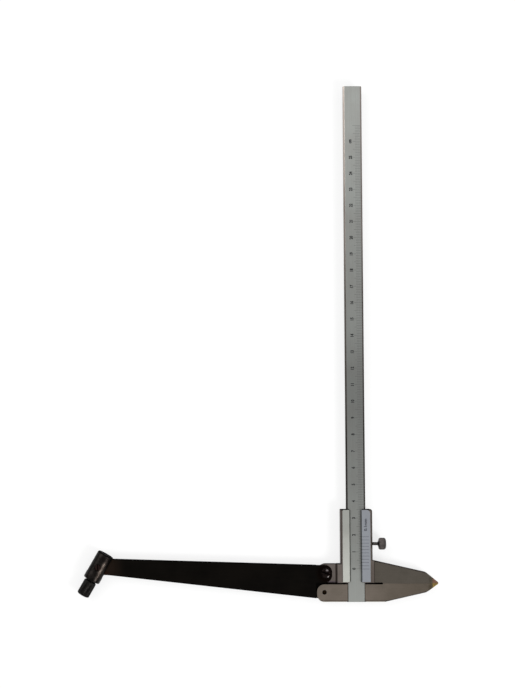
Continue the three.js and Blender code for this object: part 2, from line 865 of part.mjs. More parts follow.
const slider = new THREE.Group();
slider.position.y = contactHeight;
caliper.add(slider);
addPiece(slider, "slider_body", makeSliderBody(), groundSteel);
addPiece(slider, "moving_jaw_tip", movingBlade().intersect(tipSpace(tipSeatReach)), goldTip);
addPiece(slider, "guide_plate", makeGuidePlate(), paleSatin);
addPiece(slider, "vernier_plate", makeVernierPlate(), blueSatin);
addPiece(slider, "leaf_spring", makeLeafSpring(), springSteel);

const lock = new THREE.Group();
lock.position.set(sleeveRight, lockHeight, 0);
lock.rotation.y = Math.PI / 2;
slider.add(lock);
addPiece(lock, "lock_screw", makeLockScrew(), brightSteel);

const pivot = new THREE.Group();
pivot.position.set(-pivotReach, pivotHeight, 0);
slider.add(pivot);
addPiece(pivot, "arm_pivot_screw", makePivotScrew(), wornBlack);
addPiece(pivot, "arm_washer", makeWasher(), wornBlack);
addPiece(pivot, "arm", makeArm(), blackOxide);

const clamp = new THREE.Group();
clamp.position.set(-armReach, armRise, armMiddle);
clamp.rotation.z = -radians(barrelLean);
pivot.add(clamp);
addPiece(clamp, "clamp_barrel", makeBarrel(), wornBlack);
addPiece(clamp, "barrel_pivot_screw", makeBarrelScrew(), brightSteel);

const knob = new THREE.Group();
knob.position.y = -barrelBelow;
clamp.add(knob);
addPiece(knob, "clamp_stem", makeClampStem(), brightSteel);
addPiece(knob, "clamp_knob", makeClampKnob(), wornBlack);

export default caliper;
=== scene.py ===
"""Dresses the marking caliper: its steels, scale, vernier, screws and knurls, and the studio round it.

Sizes are in millimetres, in the frame of the solids: X points to the marking jaws, Y runs along the beam from
its foot, and Z comes out of the graduated face.
"""

import json
import logging
import math
from contextlib import contextmanager
from dataclasses import dataclass
from enum import Enum
from typing import Callable, Iterator, Sequence

import bmesh
import bpy
from mathutils import Matrix, Vector


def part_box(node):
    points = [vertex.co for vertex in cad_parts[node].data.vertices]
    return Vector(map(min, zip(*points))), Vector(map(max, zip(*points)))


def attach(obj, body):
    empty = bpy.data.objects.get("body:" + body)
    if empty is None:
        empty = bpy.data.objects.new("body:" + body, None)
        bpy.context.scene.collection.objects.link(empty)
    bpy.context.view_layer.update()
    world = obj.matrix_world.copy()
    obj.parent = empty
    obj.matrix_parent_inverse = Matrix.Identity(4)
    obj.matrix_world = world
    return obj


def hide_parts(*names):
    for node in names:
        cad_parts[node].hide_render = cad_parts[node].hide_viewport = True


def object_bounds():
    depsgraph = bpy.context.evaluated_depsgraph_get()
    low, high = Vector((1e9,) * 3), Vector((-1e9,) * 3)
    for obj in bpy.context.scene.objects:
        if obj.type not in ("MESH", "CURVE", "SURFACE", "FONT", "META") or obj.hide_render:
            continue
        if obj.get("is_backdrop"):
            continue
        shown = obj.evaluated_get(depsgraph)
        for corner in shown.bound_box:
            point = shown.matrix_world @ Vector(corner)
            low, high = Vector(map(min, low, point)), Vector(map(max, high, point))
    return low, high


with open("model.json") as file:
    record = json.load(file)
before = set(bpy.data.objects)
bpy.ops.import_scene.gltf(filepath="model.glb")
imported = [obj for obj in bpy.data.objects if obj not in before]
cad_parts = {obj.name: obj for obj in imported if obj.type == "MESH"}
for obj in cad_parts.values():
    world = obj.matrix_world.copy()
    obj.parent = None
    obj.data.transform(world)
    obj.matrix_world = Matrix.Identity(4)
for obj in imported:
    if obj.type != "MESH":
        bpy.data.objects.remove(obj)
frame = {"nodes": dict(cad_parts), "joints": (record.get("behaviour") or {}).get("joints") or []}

LOG = logging.getLogger("caliper")
Pair = tuple[float, float]
Point = tuple[float, float, float]
Colour = tuple[float, float, float]
Socket = bpy.types.NodeSocket
Piece = bpy.types.Object
Face = bpy.types.MeshPolygon
Test = Callable[[Face], bool]

MM = 0.001
UP, DOWN = (0.0, 0.0, 1.0), (0.0, 0.0, -1.0)
OVERRUN = 1.0  # how far a cutting tool runs past what it cuts
SCALE_ZERO = 19.53  # the height of the beam's zero line
MARK_DEPTH = 0.05  # how thick lines and figures are
PLATE_SINK = 0.02  # how far the plates' faces lie under those of their solids
SLOT_DEPTH = 0.5  # the depth of the small screws' slots
SLOT_MARGINS = (0.03, 0.05)  # how far beyond a slot's walls and under its floor its faces are looked for
TIP_EDGE = 0.06  # the broken edge of the gold tips
SLOPE, FLAT = 0.3, 0.95  # a face between these, by its normal's Z, is a bevel
RELIEF_HALF = 0.6  # how far the faces of the dark groove between the jaws lie from its middle
RELIEF_DEPTHS = (-1.1, 1.4)  # between which depths they lie
RELIEF_END = 16.5  # where the groove ends along X
SCREW_SIDES = 48  # how many sides the small screws and rivets have


class Slot(Enum):
    """The finishes that the solids name."""

    CHROME = "satin_chrome"
    GROUND = "ground_steel"
    GOLD = "gold_tip"
    PALE = "pale_satin"
    BLUE = "blue_satin"
    SPRING = "spring_steel"
    BRIGHT = "bright_steel"
    BLACK = "black_oxide"
    WORN = "worn_black"


class Body(Enum):
    """The bodies that pieces ride on."""

    BEAM = "beam"
    SLIDER = "slider"
    LOCK = "lock_screw"
    ARM = "arm"
    BARREL = "barrel"
    KNOB = "clamp_knob"


class Select(Enum):
    """What an edit-mode step selects."""

    VERTICES = "VERT"
    EDGES = "EDGE"
    FACES = "FACE"


# Effects that several finishes share


class Wires:
    """A small helper that adds and joins shader nodes in one tree."""

    def __init__(self, tree: bpy.types.NodeTree) -> None:
        """Keeps the tree that nodes are added to."""
        self.tree = tree

    @classmethod
    def emptied(cls, owner: bpy.types.Material | bpy.types.World) -> "Wires":
        """Empties a material's or a world's nodes.

        Args:
            owner: The material or the world.

        Returns:
            The helper for its tree.
        """
        owner.use_nodes = True
        owner.node_tree.nodes.clear()
        return cls(owner.node_tree)

    def feed(self, socket: Socket, value: object) -> None:
        """Links an input to a socket, or sets its value or its colour.

        Args:
            socket: The input.
            value: What it gets.
        """
        if isinstance(value, Socket):
            self.tree.links.new(value, socket)
        elif socket.type == "RGBA":
            socket.default_value = (*value[:3], 1.0)
        else:
            socket.default_value = value

    def node(self, kind: str, **values: object) -> bpy.types.Node:
        """Adds a node and sets its sockets or settings.

        Args:
            kind: The node's type name.
            **values: Inputs, by socket name with underscores for spaces, or settings of the node.

        Returns:
            The node.
        """
        made = self.tree.nodes.new(kind)
        for name, value in values.items():
            socket = made.inputs.get(name.replace("_", " "))
            if socket is None:
                setattr(made, name, value)
            else:
                self.feed(socket, value)
        return made

    def maths(self, operation: str, *values: object, kind: str = "Math", result: int = 0) -> Socket:
        """Adds a sum on values or sockets.

        Args:
            operation: The name of the sum.
            *values: What it works on.
            kind: Math for numbers and VectorMath for vectors.
            result: The number of the output that holds the result.

        Returns:
            The socket with the result.
        """
        made = self.node("ShaderNode" + kind, operation=operation)
        for socket, value in zip(made.inputs, values):
            self.feed(socket, value)
        return made.outputs[result]

    def spread(self, value: Socket, low: float, high: float) -> Socket:
        """Maps a value smoothly to a mask that is 0 at the low end and 1 at the high one."""
        settings = {"interpolation_type": "SMOOTHSTEP", "From_Min": low, "From_Max": high}
        return self.node("ShaderNodeMapRange", Value=value, **settings).outputs["Result"]

    def mix(
        self, share: object, first: object, second: object, kind: str = "RGBA", blend: str = "MIX"
    ) -> Socket:
        """Mixes two colours or two values.

        Args:
            share: How much of the second shows.
            first: The first colour or value.
            second: The second colour or value.
            kind: RGBA for colours and FLOAT for values.
            blend: How colours are mixed.

        Returns:
            The socket with the result.
        """
        made = self.node("ShaderNodeMix", data_type=kind, blend_type=blend)
        start, result = (6, 2) if kind == "RGBA" else (2, 0)
        for index, value in zip((0, start, start + 1), (share, first, second)):
            self.feed(made.inputs[index], value)
        return made.outputs[result]

    def noise(self, place: Socket, scale: object, detail: float, roughness: float = 0.5) -> Socket:
        """Adds clouds and returns their socket."""
        values = {"Scale": scale, "Detail": detail, "Roughness": roughness}
        return self.node("ShaderNodeTexNoise", Vector=place, **values).outputs["Fac"]


class SteelSurface:
    """The node group that gives every steel its ground lines, stains, scratches and pits."""

    NAME = "steel_surface"
    NUMBERS = (
        ("Line Share", 0.3),
        ("Stain Size", 60.0),
        ("Stain Share", 0.5),
        ("Scratch Share", 0.2),
        ("Pit Size", 900.0),
        ("Pit Share", 0.2),
        ("Clean Roughness", 0.3),
        ("Stained Roughness", 0.45),
    )
    LINE_ENDS = (0.3, 0.7)
    STAIN_ENDS = (0.36, 0.66)
    SCRATCH_ENDS = (0.66, 0.74)
    SCRATCH_STRETCH = (210.0, 2900.0, 700.0)
    SCRATCH_TURN = 0.5
    PIT_ENDS = (0.06, 0.26)
    PIT_RELIEF = 0.8
    SCRATCH_RELIEF = 0.6

    @classmethod
    def tree(cls) -> bpy.types.NodeTree:
        """Returns the group, and builds it the first time."""
        return bpy.data.node_groups.get(cls.NAME) or cls._build()

    @classmethod
    def _build(cls) -> bpy.types.NodeTree:
        """Builds the group.

        Returns:
            The group's node tree.
        """
        tree = bpy.data.node_groups.new(cls.NAME, "ShaderNodeTree")
        face = tree.interface
        for name in ("Place", "Stretch"):
            face.new_socket(name, in_out="INPUT", socket_type="NodeSocketVector")
        for name in ("Light", "Dark"):
            face.new_socket(name, in_out="INPUT", socket_type="NodeSocketColor")
        for name, value in cls.NUMBERS:
            face.new_socket(name, in_out="INPUT", socket_type="NodeSocketFloat").default_value = value
        face.new_socket("Colour", in_out="OUTPUT", socket_type="NodeSocketColor")
        for name in ("Roughness", "Height"):
            face.new_socket(name, in_out="OUTPUT", socket_type="NodeSocketFloat")

        wires = Wires(tree)
        given = wires.node("NodeGroupInput").outputs
        place = given["Place"]
        stretched = wires.maths("MULTIPLY", place, given["Stretch"], kind="VectorMath")
        lines = wires.noise(stretched, 1.0, 4.0, 0.75)
        clouds = wires.noise(place, given["Stain Size"], 6.0, 0.62)
        long = wires.maths("MULTIPLY", place, cls.SCRATCH_STRETCH, kind="VectorMath")
        tilted = wires.node("ShaderNodeVectorRotate", Vector=long, Angle=cls.SCRATCH_TURN)
        scratches = wires.noise(tilted.outputs[0], 1.0, 2.0)
        holes = wires.node("ShaderNodeTexVoronoi", Vector=place, Scale=given["Pit Size"]).outputs["Distance"]
        pits = wires.maths("SUBTRACT", 1.0, wires.spread(holes, *cls.PIT_ENDS))

        stained = wires.maths("MULTIPLY", wires.spread(clouds, *cls.STAIN_ENDS), given["Stain Share"])
        lined = wires.maths("MULTIPLY", wires.spread(lines, *cls.LINE_ENDS), given["Line Share"])
        pitted = wires.maths("MULTIPLY", pits, given["Pit Share"])
        marks = wires.spread(scratches, *cls.SCRATCH_ENDS)
        scratched = wires.maths("MULTIPLY", marks, given["Scratch Share"])
        total = wires.maths("ADD", wires.maths("ADD", stained, lined), pitted)
        share = wires.maths("MAXIMUM", wires.maths("SUBTRACT", total, scratched), 0.0)
        share = wires.maths("MINIMUM", share, 1.0)
        height = wires.maths("SUBTRACT", lines, wires.maths("MULTIPLY", pitted, cls.PIT_RELIEF))
        wires.node(
            "NodeGroupOutput",
            Colour=wires.mix(share, given["Light"], given["Dark"]),
            Roughness=wires.mix(share, given["Clean Roughness"], given["Stained Roughness"], "FLOAT"),
            Height=wires.maths("SUBTRACT", height, wires.maths("MULTIPLY", scratched, cls.SCRATCH_RELIEF)),
        )
        return tree


class Grain(Enum):
    """Which way the ground lines of a steel run, as how often they change along X, Y and Z in a metre."""

    ALONG_BEAM = (3200.0, 40.0, 3200.0)
    ALONG_JAW = (50.0, 2600.0, 2600.0)
    BLASTED = (3000.0, 3000.0, 3000.0)


@dataclass(frozen=True)
class Steel:
    """A metal finish.

    Attributes:
        name: The material's name.
        slot: The finish that it stands for.
        light: Its colour where it is clean.
        dark: Its colour where it is stained.
        rough: Its roughness where clean and where stained.
        grain: The run of its ground lines.
        lines: How much the lines darken it.
        stains: How much the clouds darken it, and how many there are in a metre.
        scratches: How much the scratches brighten it.
        pits: How much the pits darken it, and how many there are in a metre.
        depth: The strength of its relief.
        relief: The height of its relief, in millimetres.
        metal: How metallic it is.
        gloss: How strongly it shines where it isn't metallic.
    """

    name: str
    slot: Slot
    light: Colour
    dark: Colour
    rough: Pair
    grain: Grain = Grain.ALONG_JAW
    lines: float = 0.3
    stains: Pair = (0.5, 60.0)
    scratches: float = 0.2
    pits: Pair = (0.15, 1100.0)
    depth: float = 0.12
    relief: float = 0.06
    metal: float = 1.0
    gloss: float = 0.5

    def material(self) -> bpy.types.Material:
        """Returns the material, and builds it the first time."""
        return bpy.data.materials.get(self.name) or self._build()

    def _build(self) -> bpy.types.Material:
        """Builds the material.

        Returns:
            The material.
        """
        made = bpy.data.materials.new(self.name)
        made.diffuse_color = (*self.light, 1.0)
        wires = Wires.emptied(made)
        place = wires.node("ShaderNodeTexCoord").outputs["Object"]
        surface = wires.node(
            "ShaderNodeGroup",
            node_tree=SteelSurface.tree(),
            Place=place,
            Stretch=self.grain.value,
            Light=self.light,
            Dark=self.dark,
            Line_Share=self.lines,
            Stain_Size=self.stains[1],
            Stain_Share=self.stains[0],
            Scratch_Share=self.scratches,
            Pit_Size=self.pits[1],
            Pit_Share=self.pits[0],
            Clean_Roughness=self.rough[0],
            Stained_Roughness=self.rough[1],
        ).outputs
        bump = wires.node(
            "ShaderNodeBump", Strength=self.depth, Distance=self.relief * MM, Height=surface["Height"]
        )
        shader = wires.node(
            "ShaderNodeBsdfPrincipled",
            Metallic=self.metal,
            Specular_IOR_Level=self.gloss,
            Base_Color=self.tone(wires, place, surface["Colour"]),
            Roughness=surface["Roughness"],
            Normal=bump.outputs["Normal"],
        )
        wires.node("ShaderNodeOutputMaterial", Surface=shader.outputs[0])
        return made

    def tone(self, wires: Wires, place: Socket, colour: Socket) -> Socket:
        """Returns the colour as it is; a finish that changes over its piece tones it."""
        return colour


@dataclass(frozen=True)
class LengthwiseSteel(Steel):
    """A steel whose brightness changes along the beam, as a painted reflection of the room.

    Attributes:
        tones: Heights in millimetres with the share of brightness there.
        span: The height at which the last tone stands.
    """

    tones: tuple[Pair, ...] = ((0.0, 1.0), (300.0, 1.0))
    span: float = 320.0

    def tone(self, wires: Wires, place: Socket, colour: Socket) -> Socket:
        """Darkens and brightens the colour along the beam, as a painted reflection.

        Args:
            wires: The material's nodes.
            place: Object coordinates.
            colour: The colour to tone.

        Returns:
            The toned colour.
        """
        height = wires.node("ShaderNodeSeparateXYZ", Vector=place).outputs["Y"]
        ramp = wires.node("ShaderNodeValToRGB", Fac=wires.maths("DIVIDE", height, self.span * MM))
        ramp.color_ramp.interpolation = "EASE"
        stops = ramp.color_ramp.elements
        for index, (height, level) in enumerate(self.tones):
            stop = stops[index] if index < 2 else stops.new(1.0)
            stop.position = height / self.span
            stop.color = (level, level, level, 1.0)
        return wires.mix(1.0, colour, ramp.outputs["Color"], blend="MULTIPLY")


@dataclass(frozen=True)
class Spot:
    """A place where a steel is lighter, darker or tinted.

    Attributes:
        place: Its middle, in millimetres.
        reach: How far it runs along X, Y and Z.
        factor: What the colour is multiplied by there.
        core: The share of its reach within which it shows in full.
        turn: How far it is turned about Z, in degrees.
    """

    place: Point
    reach: Point
    factor: Colour
    core: float = 0.4
    turn: float = 0.0


@dataclass(frozen=True)
class SpottedSteel(Steel):
    """A steel with stains, wear, painted highlights or painted shade at known places.

    Attributes:
        spots: The places.
    """

    spots: tuple[Spot, ...] = ()

    def tone(self, wires: Wires, place: Socket, colour: Socket) -> Socket:
        """Tones the colour at every spot.

        Args:
            wires: The material's nodes.
            place: Object coordinates.
            colour: The colour to tone.

        Returns:
            The toned colour.
        """
        for spot in self.spots:
            offset = wires.maths("SUBTRACT", place, Vector(spot.place) * MM, kind="VectorMath")
            angle = -math.radians(spot.turn)
            turned = wires.node("ShaderNodeVectorRotate", rotation_type="Z_AXIS", Vector=offset, Angle=angle)
            scaled = wires.maths("DIVIDE", turned.outputs[0], Vector(spot.reach) * MM, kind="VectorMath")
            length = wires.maths("LENGTH", scaled, kind="VectorMath", result=1)
            mask = wires.maths("SUBTRACT", 1.0, wires.spread(length, spot.core, 1.0))
            colour = wires.mix(mask, colour, spot.factor, blend="MULTIPLY")
        return colour


@dataclass(frozen=True)
class HeatTint(Steel):
    """A gold-coloured steel that turns copper-red above a line.

    Attributes:
        red: The colour above the line.
        line: The height of the line, in millimetres.
        reach: How far the colours run into each other, in millimetres.
    """

    red: Colour = (0.1, 0.055, 0.038)
    line: float = 10.88
    reach: float = 0.5

    def tone(self, wires: Wires, place: Socket, colour: Socket) -> Socket:
        """Turns the colour red above the line.

        Args:
            wires: The material's nodes.
            place: Object coordinates.
            colour: The colour to tone.

        Returns:
            The toned colour.
        """
        height = wires.node("ShaderNodeSeparateXYZ", Vector=place).outputs["Y"]
        low, high = (self.line - self.reach) * MM, (self.line + self.reach) * MM
        return wires.mix(wires.spread(height, low, high), colour, self.red)


class Finishes:
    """Every finish on the caliper."""

    # Painted reflection: the tones brighten and darken the chrome along the beam, as the room's reflection
    # changes.
    BEAM = LengthwiseSteel(
        "beam_satin_chrome", Slot.CHROME, (0.5, 0.522, 0.49), (0.36, 0.352, 0.33), (0.3, 0.44),
        Grain.ALONG_BEAM, lines=0.35, stains=(0.35, 34.0), scratches=0.12, pits=(0.1, 700.0), depth=0.1,
        tones=(
            (0.0, 0.68), (320.0, 0.9), (14.0, 0.66), (26.0, 0.57), (45.0, 0.55), (75.0, 0.48), (123.0, 0.41),
            (183.0, 0.6), (245.0, 0.97),
        ),
    )
    # Painted reflection and shade: the two chamfers are lit and shaded copies of the chrome, each toned along
    # the beam.
    CHAMFER_LEFT = LengthwiseSteel(
        "beam_chamfer_left", Slot.CHROME, (0.72, 0.64, 0.58), (0.36, 0.3, 0.27), (0.3, 0.42),
        Grain.ALONG_BEAM, stains=(0.5, 26.0),
        tones=(
            (0.0, 0.07), (320.0, 1.0), (72.0, 0.075), (95.0, 0.065), (118.0, 0.12), (176.0, 0.19),
            (233.0, 0.4), (262.0, 0.65), (285.0, 1.0),
        ),
    )
    CHAMFER_RIGHT = LengthwiseSteel(
        "beam_chamfer_right", Slot.CHROME, (0.56, 0.5, 0.46), (0.28, 0.24, 0.22), (0.3, 0.42),
        Grain.ALONG_BEAM, stains=(0.5, 26.0),
        tones=(
            (0.0, 0.14), (320.0, 1.0), (72.0, 0.13), (95.0, 0.09), (118.0, 0.17), (176.0, 0.29),
            (233.0, 0.62), (285.0, 1.0),
        ),
    )
    SLEEVE = SpottedSteel(
        "slider_sleeve_steel", Slot.GROUND, (0.172, 0.148, 0.133), (0.1, 0.083, 0.073), (0.34, 0.46),
        Grain.ALONG_BEAM, stains=(0.5, 70.0),
        # Painted shade: the first spot is a shadow line along the root's left seam, the third and fourth a
        # near-black shadow band along the ear's upper edge and its corner. The second darkens the root's
        # right side a little, and the fifth tints a band along the ear's lower edge a darker lavender.
        spots=(
            Spot((-11.9, 17.0, -0.8), (0.55, 90.0, 2.5), (0.25, 0.22, 0.2)),
            Spot((9.5, 15.0, 3.2), (3.5, 12.0, 4.0), (0.8, 0.78, 0.76)),
            Spot((-17.0, 22.75, 0.0), (8.4, 0.72, 90.0), (0.04, 0.03, 0.03), 0.75),
            Spot((-9.5, 23.3, 0.0), (0.55, 1.1, 90.0), (0.1, 0.09, 0.08), 0.5),
            Spot((-14.5, 11.8, 0.0), (5.5, 0.6, 90.0), (0.72, 0.68, 0.82), 0.5),
        ),
    )
    BLADE = SpottedSteel(
        "moving_blade_steel", Slot.GROUND, (0.096, 0.084, 0.07), (0.063, 0.056, 0.045), (0.36, 0.48),
        stains=(0.5, 80.0),
        spots=(
            # Painted shade: the first spot is a shadow line at the foot of the root's right wall.
            Spot((10.5, 17.0, 0.0), (0.6, 90.0, 90.0), (0.3, 0.28, 0.27)),
            Spot((46.0, 13.0, 0.0), (3.6, 4.5, 90.0), (0.55, 0.52, 0.46), 0.4),
        ),
    )
    FIXED = SpottedSteel(
        "fixed_jaw_steel", Slot.GROUND, (0.18, 0.151, 0.126), (0.113, 0.097, 0.078), (0.36, 0.48),
        stains=(0.5, 75.0),
        spots=(
            Spot((0.0, 0.75, 0.0), (90.0, 0.4, 90.0), (0.5, 0.47, 0.45)),
            Spot((49.0, 6.0, 0.0), (52.0, 90.0, 90.0), (0.64, 0.63, 0.6), 0.25),
            Spot((46.0, 8.5, 0.0), (3.8, 4.5, 90.0), (0.5, 0.47, 0.38), 0.4),
        ),
    )
    # Painted highlight: a lighter copy of the jaw's steel for the bevels that face down the beam.
    FIXED_EDGE = Steel(
        "fixed_jaw_bevel_painted_highlight", Slot.GROUND, (0.32, 0.28, 0.24), (0.22, 0.19, 0.16), (0.36, 0.48),
        stains=(0.5, 75.0),
    )
    # Painted shade: a dead black for the groove between the jaws, and for walls and bevels in shadow.
    RELIEF = Steel(
        "relief_groove_painted_shade", Slot.GROUND, (0.0024, 0.002, 0.0019), (0.001, 0.0008, 0.0008), (0.6, 0.75),
        stains=(0.4, 90.0), metal=0.0, gloss=0.02,
    )
    # Painted shade: a darker copy of the sleeve's steel for its walls that face -X.
    SLEEVE_EDGE = Steel(
        "sleeve_edge_painted_shade", Slot.GROUND, (0.115, 0.098, 0.088), (0.06, 0.05, 0.045), (0.34, 0.44),
        Grain.ALONG_BEAM, stains=(0.4, 90.0),
    )
    # Painted shade: a darker copy of the jaws' steel for their bevels, which draws dark outlines.
    EDGE = Steel(
        "jaw_edge_painted_shade", Slot.GROUND, (0.09, 0.076, 0.066), (0.04, 0.033, 0.028), (0.3, 0.4),
        stains=(0.4, 90.0),
    )
    # Painted reflection: the tones darken the plate's chrome up the beam.
    GUIDE = LengthwiseSteel(
        "guide_plate_chrome", Slot.PALE, (0.5, 0.512, 0.473), (0.41, 0.414, 0.376), (0.42, 0.52),
        Grain.BLASTED, lines=0.35, stains=(0.5, 45.0), scratches=0.05,
        tones=(
            (0.0, 1.0), (320.0, 0.6), (18.0, 1.0), (27.0, 0.92), (36.0, 0.84), (43.0, 0.7), (50.0, 0.6),
        ),
    )
    # Painted shade: a darker copy of the plate's chrome for its bevel down to the beam.
    GUIDE_EDGE = Steel(
        "guide_edge_painted_shade", Slot.PALE, (0.2, 0.207, 0.186), (0.14, 0.143, 0.13), (0.42, 0.52), Grain.BLASTED,
    )
    VERNIER = Steel(
        "vernier_plate_chrome", Slot.BLUE, (0.275, 0.29, 0.313), (0.222, 0.233, 0.252), (0.42, 0.52),
        Grain.BLASTED, lines=0.35, stains=(0.45, 55.0), scratches=0.05,
    )
    GOLD = HeatTint(
        "tip_gold", Slot.GOLD, (0.15, 0.108, 0.033), (0.09, 0.058, 0.02), (0.25, 0.36), stains=(0.4, 400.0),
    )
    ARM = SpottedSteel(
        "arm_black_oxide", Slot.BLACK, (0.0068, 0.0057, 0.0046), (0.0031, 0.0028, 0.0025), (0.36, 0.5),
        lines=0.4, stains=(0.6, 38.0), scratches=0.5, depth=0.14,
        spots=(
            Spot((-154.0, 20.6, 0.0), (17.0, 17.0, 17.0), (2.9, 2.25, 1.95), 0.35),
            Spot((-149.6, 17.0, 0.0), (3.2, 2.6, 9.0), (1.15, 0.8, 0.75), 0.2),
            Spot((-18.2, 17.0, 0.0), (7.0, 8.0, 6.0), (0.9, 0.6, 0.5), 0.5),
            # Painted glint: the last spot is a brown highlight on the tail, where it shows through the hole
            # in the fixed ear.
            Spot((-18.9, 5.6, -1.0), (1.2, 1.2, 2.0), (6.0, 4.0, 2.0), 0.2),
        ),
    )
    # Painted shade: a dead black for the arm's bevels, which would otherwise catch the light.
    ARM_EDGE = Steel(
        "arm_edge_painted_shade", Slot.BLACK, (0.0012, 0.001, 0.001), (0.0005, 0.0004, 0.0004), (0.6, 0.75),
        metal=0.0, gloss=0.0,
    )
    # Painted shade: a darker, duller copy of the black oxide for the arm's sides.
    ARM_SIDE = Steel(
        "arm_side_painted_shade", Slot.BLACK, (0.0036, 0.0032, 0.003), (0.0018, 0.0016, 0.0015), (0.6, 0.75),
        metal=0.0, gloss=0.05,
    )
    BARREL = SpottedSteel(
        "barrel_worn_black_painted_light_and_shade", Slot.WORN, (0.0175, 0.015, 0.0135), (0.0055, 0.0046, 0.0042), (0.27, 0.42),
        Grain.BLASTED, stains=(0.85, 260.0), scratches=0.5, pits=(0.5, 1500.0), depth=0.25,
        # Painted highlight and shade: the first spot is a bright band along the barrel right of its middle,
        # the other two darken its left and right sides.
        spots=(
            Spot((-151.9, 19.0, 3.9), (2.1, 8.5, 9.0), (2.5, 2.35, 2.2), 0.3, -29.5),
            Spot((-158.4, 23.1, 2.0), (1.6, 12.0, 9.0), (0.5, 0.5, 0.5), 0.3, -29.5),
            Spot((-149.4, 18.0, 2.0), (1.0, 12.0, 9.0), (0.4, 0.38, 0.36), 0.3, -29.5),
        ),
    )
    # Painted shade: a dead black for the barrel's top end and the knob's top, which lie in shadow.
    BARREL_END = Steel(
        "barrel_end_painted_shade", Slot.WORN, (0.0018, 0.0017, 0.0016), (0.0008, 0.0008, 0.0007), (0.6, 0.75),
        Grain.BLASTED, metal=0.0, gloss=0.02,
    )
    KNURL = Steel(
        "knurled_worn_black", Slot.WORN, (0.01, 0.0092, 0.0084), (0.0038, 0.0035, 0.0032), (0.3, 0.42),
        Grain.BLASTED, stains=(0.6, 240.0),
    )
    PIVOT = SpottedSteel(
        "pivot_brown_steel", Slot.WORN, (0.0185, 0.0125, 0.0115), (0.005, 0.0031, 0.0029), (0.2, 0.36),
        Grain.BLASTED, stains=(0.8, 420.0),
        # Painted glints: the two spots are bright highlights on the head, one each side of the slot.
        spots=(
            Spot((-17.5, 18.6, 3.0), (1.1, 0.9, 9.0), (20.0, 27.0, 29.0), 0.2),
            Spot((-16.8, 14.7, 3.0), (1.0, 0.8, 9.0), (22.0, 31.0, 33.0), 0.2),
        ),
    )
    LOCK = SpottedSteel(
        "lock_screw_steel", Slot.BRIGHT, (0.085, 0.077, 0.073), (0.034, 0.03, 0.029), (0.24, 0.36),
        Grain.BLASTED, stains=(0.5, 240.0),
        # Painted highlight: the spot lightens the middle of the knurled head, leaving its ends darker.
        spots=(Spot((15.2, 34.25, 0.0), (2.5, 90.0, 90.0), (1.85, 1.8, 1.8), 0.15),),
    )
    BRIGHT = Steel(
        "small_screw_steel", Slot.BRIGHT, (0.17, 0.15, 0.135), (0.07, 0.06, 0.05), (0.24, 0.36),
        Grain.BLASTED, stains=(0.5, 300.0),
    )
    WASHER = Steel(
        "arm_washer_black", Slot.WORN, (0.008, 0.0052, 0.0045), (0.003, 0.002, 0.0018), (0.3, 0.4),
        Grain.BLASTED, stains=(0.6, 420.0),
    )
    # Painted shade: a dead black for the walls and floors of the screw slots.
    SLOT = Steel(
        "screw_slot_painted_shade", Slot.WORN, (0.002, 0.0012, 0.0012), (0.0008, 0.0006, 0.0006), (0.6, 0.75),
        Grain.BLASTED, metal=0.0, gloss=0.0,
    )
    CROSS_SCREW = Steel(
        "cross_screw_brown", Slot.BRIGHT, (0.028, 0.017, 0.015), (0.009, 0.005, 0.0045), (0.25, 0.4),
        Grain.BLASTED, stains=(0.6, 500.0),
    )
    # Painted shade: a darker copy of the plate's chrome for its bevel down to the beam.
    VERNIER_EDGE = Steel(
        "vernier_edge_painted_shade", Slot.BLUE, (0.22, 0.228, 0.23), (0.15, 0.156, 0.158), (0.42, 0.52),
        Grain.BLASTED,
    )
    RIVET = Steel(
        "rivet_steel", Slot.BRIGHT, (0.24, 0.21, 0.19), (0.13, 0.11, 0.095), (0.3, 0.42), Grain.BLASTED,
        stains=(0.5, 300.0),
    )
    SPRING = Steel(
        "leaf_spring_steel", Slot.SPRING, (0.42, 0.43, 0.44), (0.24, 0.24, 0.25), (0.28, 0.4),
        Grain.ALONG_BEAM,
    )
    ENGRAVED = Steel(
        "engraved_black", Slot.CHROME, (0.045, 0.046, 0.047), (0.016, 0.016, 0.017), (0.55, 0.7),
        Grain.BLASTED, metal=0.0,
    )
    FIGURE = Steel(
        "figure_black", Slot.CHROME, (0.03, 0.031, 0.032), (0.014, 0.014, 0.015), (0.5, 0.6), Grain.BLASTED,
    )
    VERNIER_LINE = SpottedSteel(
        "vernier_line_black", Slot.BLUE, (0.06, 0.06, 0.09), (0.03, 0.03, 0.045), (0.55, 0.7), Grain.BLASTED,
        metal=0.0, spots=(Spot((3.0, 30.0, 3.0), (2.4, 90.0, 90.0), (0.4, 0.4, 0.35), 0.3),),
    )
    VERNIER_WORD = Steel(
        "vernier_word_black", Slot.BLUE, (0.05, 0.05, 0.065), (0.025, 0.025, 0.033), (0.5, 0.6),
        Grain.BLASTED,
    )


# The modelling bench


@dataclass(frozen=True)
class Seat:
    """Where a piece made about Z stands, in millimetres.

    Attributes:
        origin: The place of the piece's own origin.
        up: The way its Z points.
        front: The way its Y points.
    """

    origin: Point
    up: Point = UP
    front: Point = (0.0, 1.0, 0.0)

    def matrix(self) -> Matrix:
        """Works out the turn and move from the bench to the seat.

        Returns:
            The matrix.
        """
        up = Vector(self.up).normalized()
        front = Vector(self.front).normalized()
        turn = Matrix((front.cross(up), front, up)).transposed().to_4x4()
        return Matrix.Translation(Vector(self.origin) * MM) @ turn


